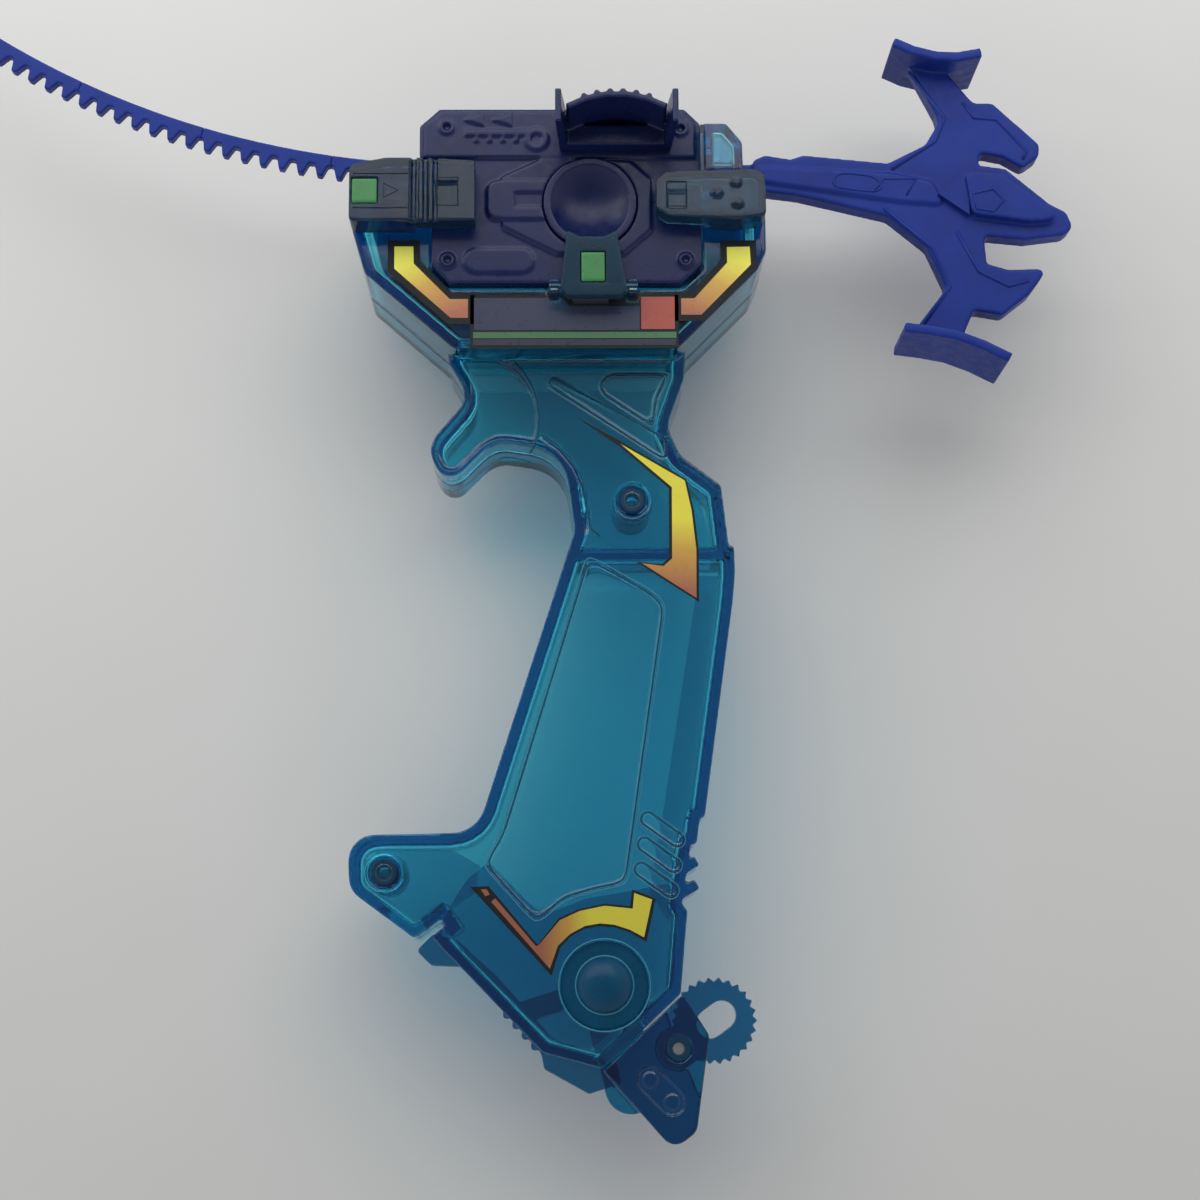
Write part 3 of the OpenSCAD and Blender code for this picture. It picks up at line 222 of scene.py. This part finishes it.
# Near-black teal for the lines of painted shade on the lock slider and the clamp
SLIDER_LINE_SHADE = moulded("slider_line_painted_shade", (0.006, 0.014, 0.026), rough=0.5, gloss=0.2)
SLOTS = {
    "teal_clear": TEAL, "navy": NAVY, "cord_blue": BLUE, "green_window": GREEN, "steel": STEEL,
    "bronze": BRONZE, "white_plastic": WHITE, "rotor_dark": DARK,
}


# Nodes of model.glb: materials and rounded edges


def smooth_tree():
    """Node group that shades every face smooth."""
    group = bpy.data.node_groups.new("shade_smooth", "GeometryNodeTree")
    group.interface.new_socket("Geometry", in_out="INPUT", socket_type="NodeSocketGeometry")
    group.interface.new_socket("Geometry", in_out="OUTPUT", socket_type="NodeSocketGeometry")
    start = group.nodes.new("NodeGroupInput")
    shade = group.nodes.new("GeometryNodeSetShadeSmooth")
    end = group.nodes.new("NodeGroupOutput")
    group.links.new(start.outputs[0], shade.inputs["Geometry"])
    group.links.new(shade.outputs["Geometry"], end.inputs[0])
    return group


SMOOTH = smooth_tree()


def soften(obj, grain, rounds):
    """Rebuilds the surface at a fine grain and relaxes it, which rounds every edge as a moulding has it."""
    weld = obj.modifiers.new("weld", "WELD")
    weld.merge_threshold = 0.002 * MM
    skin = obj.modifiers.new("skin", "REMESH")
    skin.mode = "VOXEL"
    skin.voxel_size = grain * MM
    relax = obj.modifiers.new("relax", "SMOOTH")
    relax.factor = 0.5
    relax.iterations = rounds
    shade = obj.modifiers.new("smooth", "NODES")
    shade.node_group = SMOOTH


# Grain in millimetres and number of relaxing rounds for the pieces that show
STRIP_ROUNDING = (0.2, 3)
ROUNDING = {
    "front_shell": (0.34, 4), "rear_shell": (0.46, 4), "fixed_clamp": (0.2, 5), "lock_slider": (0.2, 5),
    "release_latch": (0.2, 5), "swing_lever": (0.24, 5), "tail_bracket": (0.24, 5), "lanyard_ring": (0.2, 4),
    "rear_foot": (0.4, 4), "hub_cap": (0.24, 4), "launcher_front_cover": (0.26, 3), "launcher_rear_cover": (0.4, 3),
    "dish_cap": (0.22, 3), "ribbed_guard": (0.22, 3), "lock_window": (0.2, 3), "latch_window": (0.2, 3),
    "rotor": (0.3, 4), "rotor_spigot": (0.25, 4), "ripcord": (0.3, 4),
}
# Mouldings of the grip whose tint differs from that of its shells
TINTS = {
    "fixed_clamp": SMOKE, "lock_slider": SMOKE, "release_latch": VEIL, "swing_lever": DEEP, "lanyard_ring": RING,
    "latch_pin": DEEP, "tail_bracket": MID, "hub_cap": DOME,
}
for entry in frame["record"]["subparts"]:
    name = entry["node"]
    part = nodes[name]
    part.data.materials.clear()
    part.data.materials.append(TINTS.get(name, SLOTS[entry["material_slot"]]))
    if name.startswith("strip_tail"):
        soften(part, *STRIP_ROUNDING)
    elif name in ROUNDING:
        soften(part, *ROUNDING[name])


# Outlines and pieces, in millimetres


def area(points):
    return sum(a[0] * b[1] - b[0] * a[1] for a, b in zip(points, points[1:] + points[:1])) / 2


def grown(points, distance):
    """The outline moved outward by a distance, with mitred corners that stay short where they are sharp."""
    least_mitre = 0.35
    if area(points) < 0:
        points = points[::-1]
    moved = []
    for i, here in enumerate(points):
        before, after = Vector(points[i - 1]), Vector(points[(i + 1) % len(points)])
        here = Vector(here)
        u, v = (here - before).normalized(), (after - here).normalized()
        nu, nv = Vector((u.y, -u.x)), Vector((v.y, -v.x))
        moved.append(tuple(here + distance * (nu + nv) / max(least_mitre, 1 + nu.dot(nv))))
    return moved


def eased(points, rounds=3):
    """The closed outline with its corners cut off again and again until they are round."""
    longest_cut, largest_share, least_side = 1.2, 0.25, 0.01
    for _ in range(rounds):
        cut = []
        for here, there in zip(points, points[1:] + points[:1]):
            a, b = Vector(here), Vector(there)
            step = min(largest_share, longest_cut / max(least_side, (b - a).length))
            cut += [tuple(a.lerp(b, step)), tuple(b.lerp(a, step))]
        points = cut
    return points


def arc(centre, radius, first, step, count):
    """A number of points round a centre, from the angle first on."""
    turns = [first + step * i for i in range(count)]
    return [(centre[0] + radius * math.cos(turn), centre[1] + radius * math.sin(turn)) for turn in turns]


def circle(centre, radius, steps=64):
    return arc(centre, radius, 0.0, math.tau / steps, steps)


def pill(a, b, radius, steps=10):
    """Outline of a slot with round ends."""
    start = math.atan2(b[1] - a[1], b[0] - a[0])
    line = []
    for centre, first in ((b, start - math.pi / 2), (a, start + math.pi / 2)):
        line += arc(centre, radius, first, math.pi / steps, steps + 1)
    return line


def piece(name, mesh, material, body):
    """Puts a mesh into the scene as a piece that rides on a body."""
    mesh.materials.append(material)
    obj = bpy.data.objects.new(name, mesh)
    scene.collection.objects.link(obj)
    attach(obj, body)


def plate(name, points, low, high, material, body):
    """Flat piece with the given outline between two heights."""
    if area(points) < 0:
        points = points[::-1]
    mesh = bpy.data.meshes.new(name)
    bm = bmesh.new()
    verts = [bm.verts.new((x * MM, y * MM, low * MM)) for x, y in points]
    edges = [bm.edges.new((a, b)) for a, b in zip(verts, verts[1:] + verts[:1])]
    filled = bmesh.ops.triangle_fill(bm, use_beauty=True, edges=edges, normal=(0, 0, 1))
    faces = [f for f in filled["geom"] if isinstance(f, bmesh.types.BMFace)]
    up = bmesh.ops.extrude_face_region(bm, geom=faces)
    lifted = [v for v in up["geom"] if isinstance(v, bmesh.types.BMVert)]
    bmesh.ops.translate(bm, verts=lifted, vec=(0, 0, (high - low) * MM))
    bmesh.ops.recalc_face_normals(bm, faces=bm.faces)
    bm.to_mesh(mesh)
    bm.free()
    piece(name, mesh, material, body)


def tube_faces(loops, size, closed):
    """Faces that join each loop of vertices to the next one, and the last to the first where the tube is closed."""
    faces = []
    for i in range(loops if closed else loops - 1):
        here, there = i * size, (i + 1) % loops * size
        faces += [(here + k, there + k, there + (k + 1) % size, here + (k + 1) % size) for k in range(size)]
    return faces


def washer(name, centre, inner, outer, low, high, material, body, steps=48):
    """Ring with a chamfered upper rim."""
    rim = 0.2 * (outer - inner)
    profile = [
        (inner, low), (outer, low), (outer, high - rim), (outer - rim, high), (inner + rim, high), (inner, high - rim),
    ]
    verts = []
    for x, y in circle((0.0, 0.0), 1.0, steps):
        verts += [((centre[0] + r * x) * MM, (centre[1] + r * y) * MM, z * MM) for r, z in profile]
    mesh = bpy.data.meshes.new(name)
    mesh.from_pydata(verts, [], tube_faces(steps, len(profile), True))
    piece(name, mesh, material, body)


def bead(name, points, height, thick, material, body, closed=True, sides=8):
    """Thin round line along an outline at one height. Its radius is thick."""
    count = len(points)
    verts = []
    for i, here in enumerate(points):
        before = points[i - 1] if closed or i else here
        after = points[(i + 1) % count] if closed or i < count - 1 else here
        along = (Vector(after) - Vector(before)).normalized()
        across = Vector((along.y, -along.x))
        for k in range(sides):
            turn = math.tau * k / sides
            spot = Vector(here) + across * thick * math.cos(turn)
            verts.append((spot.x * MM, spot.y * MM, (height + thick * math.sin(turn)) * MM))
    faces = tube_faces(count, sides, closed)
    if not closed:
        faces += [tuple(range(sides)), tuple(reversed(range((count - 1) * sides, count * sides)))]
    mesh = bpy.data.meshes.new(name)
    mesh.from_pydata(verts, [], faces)
    for face in mesh.polygons:
        face.use_smooth = True
    piece(name, mesh, material, body)


# Stickers, without words

YELLOW, AMBER, SALMON = (0.82, 0.74, 0.07), (0.62, 0.36, 0.07), (0.40, 0.14, 0.085)
# Yellow brighter than the print's own, as painted light for the chevrons at the head
YELLOW_PAINTED_LIGHT = (1.0, 0.93, 0.10)


def dimmed(stops, factor):
    return [(place, scaled(colour, factor)) for place, colour in stops]


SUNSET = [(0.0, SALMON), (0.45, AMBER), (0.8, YELLOW)]
# Brighter copy of the sunset print, as painted light for the chevrons at the head, which the lamps light less
SUNSET_PAINTED_LIGHT = [(0.0, SALMON), (0.45, scaled(AMBER, 1.1)), (0.8, YELLOW_PAINTED_LIGHT)]
# Dimmer copy of the sunset print, as painted shade for the low swoosh, where the light falls off towards the bottom
SUNSET_PAINTED_SHADE = dimmed(SUNSET, 0.72)
LEFT_STICKER = [
    (-40.6, -8.2), (-36.2, -8.2), (-36.1, -12.0), (-28.8, -19.5), (-24.9, -19.5), (-24.9, -24.0),
    (-28.8, -24.0), (-40.6, -13.3),
]
RIGHT_STICKER = [
    (28.0, -8.4), (33.2, -8.3), (33.4, -12.5), (22.9, -23.4), (18.4, -23.4), (18.4, -19.4),
    (21.3, -19.4), (28.0, -11.9),
]
FLASH_EDGE = [
    (-3.0, -42.4), (5.7, -47.3), (19.7, -55.7), (21.2, -62.2), (22.1, -70.6), (22.0, -81.5), (9.2, -73.1),
    (14.5, -73.6), (16.0, -72.3), (16.1, -57.6), (6.1, -48.8),
]
FLASH = [
    (6.2, -48.2), (19.4, -56.0), (20.7, -62.2), (21.6, -70.6), (21.5, -80.7), (10.4, -73.4), (14.8, -74.0),
    (16.6, -72.4), (16.7, -57.4),
]
SWOOSH_EDGE = [
    (-24.6, -139.3), (-20.9, -139.2), (-11.1, -150.9), (-6.9, -145.6), (-2.7, -143.8), (2.3, -142.8), (7.4, -143.3),
    (7.8, -140.0), (12.5, -141.8), (10.6, -150.4), (7.3, -148.5), (4.3, -147.5), (1.3, -147.2), (-1.7, -147.7),
    (-4.5, -149.2), (-6.6, -151.4), (-8.4, -157.0),
]
SWOOSH = [
    (-10.7, -150.7), (-6.7, -146.0), (-2.7, -144.2), (2.3, -143.2), (7.9, -143.8), (8.2, -140.7), (11.8, -142.0),
    (10.1, -149.5), (7.3, -148.0), (4.3, -147.0), (1.3, -146.7), (-1.7, -147.2), (-4.7, -148.8), (-7.1, -151.1),
    (-8.7, -155.6), (-20.4, -142.3), (-19.6, -141.6), (-11.4, -151.2),
]
SWOOSH_CHIP = [(-22.5, -139.8), (-21.3, -139.8), (-20.7, -140.9), (-21.6, -141.2)]
LABEL = [(-24.7, -18.9), (18.1, -18.9), (18.1, -30.2), (-24.7, -30.2)]
LABEL_FIELD = [(-23.9, -19.5), (-5.8, -19.5), (-4.2, -21.3), (10.1, -21.3), (10.1, -26.4), (-23.9, -26.4)]
LABEL_BLOCK = [(10.4, -19.3), (17.3, -19.3), (17.3, -26.2), (10.4, -26.2)]
LABEL_GREEN = [(-24.1, -26.8), (17.6, -26.8), (17.6, -28.1), (-24.1, -28.1)]
LABEL_VIOLET = [(-24.1, -28.3), (17.6, -28.3), (17.6, -29.6), (-24.1, -29.6)]
LABEL_INKS = {
    "label_field": (LABEL_FIELD, (0.026, 0.034, 0.075)), "label_block": (LABEL_BLOCK, (0.36, 0.075, 0.055)),
    "label_green": (LABEL_GREEN, (0.055, 0.16, 0.075)), "label_violet": (LABEL_VIOLET, (0.022, 0.024, 0.05)),
}


def backing(name, points, face):
    """Black sheet of a sticker, just sunk into the face that carries it."""
    sunk, proud = 0.1, 0.08
    plate(name, points, face - sunk, face + proud, BLACK, "grip")


def inked(name, points, face, stops, direction, start, stop):
    """Printed field of a sticker, just above its black sheet."""
    sunk, proud = 0.05, 0.11
    plate(name, points, face - sunk, face + proud, printed(name + "_print", stops, direction, start, stop), "grip")


def chevron(name, points, direction, start, stop):
    margin, trim = 1.1, 0.25
    backing(name + "_edge", grown(points, margin), CRADLE_FACE)
    inked(name, grown(points, -trim), CRADLE_FACE, SUNSET_PAINTED_LIGHT, direction, start, stop)


chevron("left_chevron", LEFT_STICKER, (0.35, -1.0, 0.0), 13.5, -4.0)
chevron("right_chevron", RIGHT_STICKER, (-0.35, -1.0, 0.0), 16.0, -2.0)
backing("neck_flash_edge", FLASH_EDGE, GRIP_FACE)
# The neck flash's print is dimmed a little, as painted shade for the weaker light lower on the handle
inked("neck_flash", FLASH, GRIP_FACE, dimmed(SUNSET, 0.92), (0.1, 1.0, 0.0), -76.5, -58.0)
backing("low_swoosh_edge", SWOOSH_EDGE, GRIP_FACE)
for name, points in {"low_swoosh": SWOOSH, "low_swoosh_chip": SWOOSH_CHIP}.items():
    inked(name, points, GRIP_FACE, SUNSET_PAINTED_SHADE, (1.0, 0.1, 0.0), -25.0, -12.0)
backing("label_frame", LABEL, CRADLE_FACE)
for name, (points, colour) in LABEL_INKS.items():
    stops = [(0.0, scaled(colour, 0.9)), (1.0, scaled(colour, 1.1))]
    inked(name, points, CRADLE_FACE, stops, (1.0, 0.0, 0.0), -25.0, 18.0)


# Inner webs of the grip, which deepen the tint where the handle holds more plastic

HEAD_WEB = [
    (-45.2, 5.2), (-45.2, -4.0), (-42.6, -13.4), (-26.2, -27.9), (16.4, -27.9), (31.0, -12.6), (32.4, -8.5),
    (32.4, 3.4), (23.5, 3.4), (23.5, -17.0), (19.5, -22.5), (-28.5, -22.5), (-31.5, -19.0), (-31.5, 5.2),
]
LEFT_FLANK = [(-42.3, -13.0), (-41.3, -12.2), (-25.4, -26.4), (-26.2, -27.4)]
RIGHT_FLANK = [(30.6, -12.4), (29.9, -11.6), (15.4, -26.6), (16.2, -27.4)]
NECK_WEB = [
    (-24.0, -33.0), (15.0, -33.0), (14.0, -44.0), (22.0, -53.0), (26.0, -69.0), (-1.0, -69.0), (-3.0, -56.0),
    (-9.0, -49.0), (-20.0, -48.0), (-30.0, -55.0), (-33.0, -50.0), (-27.0, -41.0),
]
FOOT_WEB = [
    (-28.5, -142.6), (-30.5, -146.4), (-24.8, -154.0), (-14.7, -163.6), (-6.7, -170.7), (-0.8, -171.5), (9.3, -163.3),
    (16.2, -158.2), (16.8, -142.8), (15.2, -138.6), (9.5, -139.8), (-1.6, -141.7), (-9.7, -144.7),
    (-12.7, -142.7), (-18.8, -136.6), (-21.2, -134.4), (-25.3, -137.6),
]
EAR_WEB = [
    (-44.0, -131.0), (-29.0, -131.0), (-23.0, -134.5), (-24.0, -140.0), (-33.0, -146.0), (-36.0, -146.5),
    (-45.5, -140.0),
]
BACK_WEB = [
    (22.5, -74.5), (27.0, -74.5), (20.5, -124.0), (17.0, -140.0), (15.5, -146.0), (11.5, -140.0), (14.5, -124.0),
    (21.0, -84.0),
]
POST_LIP = [(22.75, 6.0), (23.45, 6.0), (23.45, 15.9), (22.75, 15.9)]
POST_WEB = [(25.3, 7.4), (29.6, 7.4), (29.5, 11.4), (27.2, 14.3), (25.3, 14.3)]
# Outline, lower and upper height, and plastic of each
WEBS = {
    "head_web_upper": (HEAD_WEB, 28.0, 35.0, DEEP), "head_web_lower": (HEAD_WEB, 16.0, 19.0, DEEP),
    "left_flank_web": (LEFT_FLANK, 19.2, 27.8, DEEP), "right_flank_web": (RIGHT_FLANK, 19.2, 27.8, DEEP),
    "neck_web": (NECK_WEB, 15.0, 17.0, TEAL), "foot_web": (FOOT_WEB, 25.0, 27.4, DEEP),
    "ear_web": (EAR_WEB, 20.0, 21.6, DEEP), "back_web": (BACK_WEB, 20.0, 21.6, DEEP),
    "post_lip": (POST_LIP, 38.0, 45.5, DEEP), "post_web": (POST_WEB, 40.6, 44.1, DEEP),
}
for name, (points, low, high, material) in WEBS.items():
    plate(name, points, low, high, material, "grip")

# Dark rings of painted shade in the screw wells, just below the grip's face
WELL_INNER, WELL_OUTER = 1.2, 2.65
WELL_LOW, WELL_HIGH = GRIP_FACE - 0.95, GRIP_FACE - 0.15
SCREW_WELLS = {"neck": (8.502, -60.006), "ear": (-41.886, -136.326), "tail": (16.77, -171.366)}
for place, centre in SCREW_WELLS.items():
    washer(place + "_well_shade", centre, WELL_INNER, WELL_OUTER, WELL_LOW, WELL_HIGH, WELL_SHADE, "grip")


# Fine lines: painted shade in grooves and painted highlight along edges

LINE = 0.16
GROOVE_SUNK = 0.05


def groove(name, points, thick=LINE, closed=True):
    """Line of painted shade, just sunk into the grip's face."""
    bead(name, points, GRIP_FACE - GROOVE_SUNK, thick, SHADE, "grip", closed)


def gleam(name, points, thick=0.1):
    """Pale line of painted highlight on the grip's face, where an edge catches the light."""
    bead(name, points, GRIP_FACE, thick, EDGE_HIGHLIGHT, "grip")


PANEL = [
    (-0.5, -72.5), (-18.0, -129.0), (-21.5, -134.8), (-11.3, -146.0), (-6.0, -141.4), (0.0, -139.7), (6.4, -138.4),
    (14.6, -82.5), (12.5, -80.0),
]
GRIP_SLOTS = [
    ((11.1, -125.9), (16.9, -130.1)), ((10.4, -131.0), (16.2, -135.2)), ((9.7, -136.0), (15.5, -140.2)),
]
RECESS = [(16.2, -33.2), (4.1, -33.2), (2.0, -35.3), (2.8, -37.5), (12.9, -44.3), (13.4, -38.8)]
NECK_GROOVE = [(-7.8, -33.7), (-8.8, -35.5), (15.6, -51.7), (15.6, -47.0)]
HOOK_ARC = [
    (-16.5, -29.7), (-14.0, -32.5), (-12.3, -35.3), (-11.1, -38.7), (-10.7, -42.4), (-10.9, -45.8), (-11.7, -48.6),
    (-12.6, -50.1),
]
FINGER_ARC = [
    (-10.2, -46.2), (-7.1, -48.1), (-4.2, -51.2), (-2.2, -54.8), (-1.2, -58.7), (-0.7, -63.1), (0.0, -66.1),
    (1.8, -67.7),
]
HUB = (2.184, -158.886)
HUB_RADIUS, DOME_RADIUS, DOME_RIM_Z = 9.1, 5.75, 30.55
SLOT_RADIUS, SLOT_GLEAM_RADIUS = 1.35, 1.75
PANEL_MARGIN, RECESS_MARGIN = 0.7, 0.6
groove("panel_line", eased(PANEL))
gleam("panel_gleam", eased(grown(PANEL, PANEL_MARGIN)), thick=0.12)
for number, (start, end) in enumerate(GRIP_SLOTS):
    groove("slot_line_%d" % number, pill(start, end, SLOT_RADIUS))
    gleam("slot_gleam_%d" % number, pill(start, end, SLOT_GLEAM_RADIUS))
groove("neck_recess_line", eased(RECESS))
gleam("neck_recess_gleam", eased(grown(RECESS, RECESS_MARGIN)))
groove("neck_groove_line", eased(NECK_GROOVE))
groove("hook_arc", HOOK_ARC, thick=0.18, closed=False)
groove("finger_arc", FINGER_ARC, thick=0.14, closed=False)
# Pale rings of painted highlight round the hub and the dome's rim
gleam("hub_rim_highlight", circle(HUB, HUB_RADIUS), thick=LINE)
bead("dome_rim_highlight", circle(HUB, DOME_RADIUS), DOME_RIM_Z, 0.2, EDGE_HIGHLIGHT, "grip")

# Dark lines of painted shade in the grooves and along the edges of the lock slider and the clamp
LOCK_GROOVES = [[(x, -4.9), (x, 7.0)] for x in (-36.9, -34.9, -32.9)]
LOCK_RAILS = [[(-48.3, y), (-37.2, y)] for y in (-2.9, 4.4)]
LOCK_LINE_Z, CLAMP_LINE_Z = 47.97, 48.27
THIN_LINE = 0.14
LOCK_PANE = [(-31.3, 3.6), (-27.0, 3.6), (-27.0, -2.4), (-31.3, -2.4)]
LOCK_ARROW = [(-42.1, 2.3), (-39.2, 0.8), (-42.1, -0.7)]
CLAMP_PANE = [(15.6, 2.6), (19.6, 2.6), (19.6, -2.7), (15.6, -2.7)]
for number, points in enumerate(LOCK_GROOVES):
    bead("lock_groove_%d" % number, points, LOCK_FACE - GROOVE_SUNK, LINE, SLIDER_LINE_SHADE, "lock", closed=False)
for number, points in enumerate(LOCK_RAILS):
    bead("lock_rail_%d" % number, points, LOCK_LINE_Z, THIN_LINE, SLIDER_LINE_SHADE, "lock", closed=False)
bead("lock_pane", LOCK_PANE, LOCK_LINE_Z, LINE, SLIDER_LINE_SHADE, "lock")
bead("lock_arrow", LOCK_ARROW, LOCK_LINE_Z, LINE, SLIDER_LINE_SHADE, "lock")
bead("clamp_pane", CLAMP_PANE, CLAMP_LINE_Z, LINE, SLIDER_LINE_SHADE, "grip")

# Ridges and steps of the pull handle
RIDGE_Z, RIDGE = PULL_FACE - 0.12, 0.42
PULL_LINE_Z, PULL_LINE = 29.0, 0.28
CANOPY_LOW, CANOPY_HIGH = PULL_FACE - 0.3, PULL_FACE + 1.3
CANOPY_LINE_Z, CANOPY_EDGE = 30.65, 0.3
PULL_RIDGES = {
    "pull_ridge_upper_arm": [(68.8, 34.6), (76.2, 24.1), (74.0, 18.9), (64.5, 12.6)],
    "pull_ridge_upper_wing": [(80.2, 27.6), (82.4, 24.2), (87.3, 23.8), (93.6, 16.6), (92.6, 14.9)],
    "pull_ridge_lower_arm": [(62.6, 3.9), (72.7, -4.9), (76.1, -13.6), (70.4, -21.6)],
    "pull_ridge_lower_wing": [(78.0, -1.4), (82.4, -10.2), (88.6, -13.4), (92.8, -12.2)],
}
PULL_PANEL = [(51.9, 9.9), (53.1, 11.7), (60.8, 10.9), (62.4, 8.3), (60.7, 7.3), (52.2, 8.4)]
PULL_STEP = [(60.5, 7.3), (62.7, 10.3), (69.6, 10.2), (67.4, 6.6)]
CANOPY_TAIL = [(74.1, 6.7), (78.0, 9.6), (80.6, 10.2), (80.6, 2.0)]
CANOPY_LINE = [(81.4, 6.4), (85.6, 7.4), (87.8, 4.9), (85.6, 2.4), (82.0, 3.0)]
for name, points in PULL_RIDGES.items():
    bead(name, points, RIDGE_Z, RIDGE, BLUE, "ripcord", closed=False)
bead("pull_panel_line", eased(PULL_PANEL, rounds=2), PULL_LINE_Z, PULL_LINE, BLUE, "ripcord")
bead("pull_step_line", PULL_STEP, PULL_LINE_Z, PULL_LINE, BLUE, "ripcord", closed=False)
plate("canopy_tail", CANOPY_TAIL, CANOPY_LOW, CANOPY_HIGH, BLUE, "ripcord")
bead("canopy_line", CANOPY_LINE, CANOPY_LINE_Z, CANOPY_EDGE, BLUE, "ripcord")


# Stage, in metres


def floor_material():
    mat, tree, out = new_material("pale_table")
    point = object_point(tree)
    bsdf = add(tree, "ShaderNodeBsdfPrincipled", Roughness=0.75, Specular_IOR_Level=0.2)
    tone = ramp(tree, noise(tree, point, 8.0), [(0.3, (0.66, 0.66, 0.645)), (0.7, (0.69, 0.69, 0.675))])
    tree.links.new(tone, bsdf.inputs["Base Color"])
    tree.links.new(bsdf.outputs["BSDF"], out.inputs["Surface"])
    return mat


def make_floor():
    mesh = bpy.data.meshes.new("floor")
    half = 4.0
    mesh.from_pydata([(-half, -half, 0), (half, -half, 0), (half, half, 0), (-half, half, 0)], [], [(0, 1, 2, 3)])
    floor = bpy.data.objects.new("floor", mesh)
    mesh.materials.append(floor_material())
    scene.collection.objects.link(floor)


def make_camera():
    """Camera at the photograph's viewing angle."""
    data = bpy.data.cameras.new("camera")
    data.sensor_width = 36.0
    data.lens = 72.0
    right = Vector((0.99987851, -0.00610799, 0.01434066))
    up = Vector((0.00341024, 0.98345839, 0.18110209))
    back = Vector((-0.01520961, -0.18103118, 0.98335974))
    place = Matrix((right, up, back)).transposed().to_4x4()
    place.translation = Vector((-5.745, -169.947, 514.0)) * MM
    camera = bpy.data.objects.new("camera", data)
    camera.matrix_world = place
    scene.collection.objects.link(camera)
    scene.camera = camera


def make_lights():
    """A sky that is bright at the horizon and dim above, and one soft lamp behind the object at the left."""
    world = bpy.data.worlds.new("studio")
    scene.world = world
    world.use_nodes = True
    tree = world.node_tree
    sky = tree.nodes["Background"]
    height = add(tree, "ShaderNodeSeparateXYZ")
    tree.links.new(add(tree, "ShaderNodeTexCoord").outputs["Generated"], height.inputs[0])
    shade = ramp(tree, height.outputs["Z"], [(0.0, (1.0, 1.0, 1.0)), (1.0, (0.20, 0.20, 0.20))])
    tree.links.new(shade, sky.inputs["Color"])
    data = bpy.data.lights.new("softbox", "AREA")
    data.shape = "RECTANGLE"
    data.size = 1.3
    data.size_y = 0.8
    data.energy = 6.6
    lamp = bpy.data.objects.new("softbox", data)
    lamp.location = (-0.25, 0.53, 0.45)
    lamp.visible_camera = False
    scene.collection.objects.link(lamp)


make_floor()
make_camera()
make_lights()
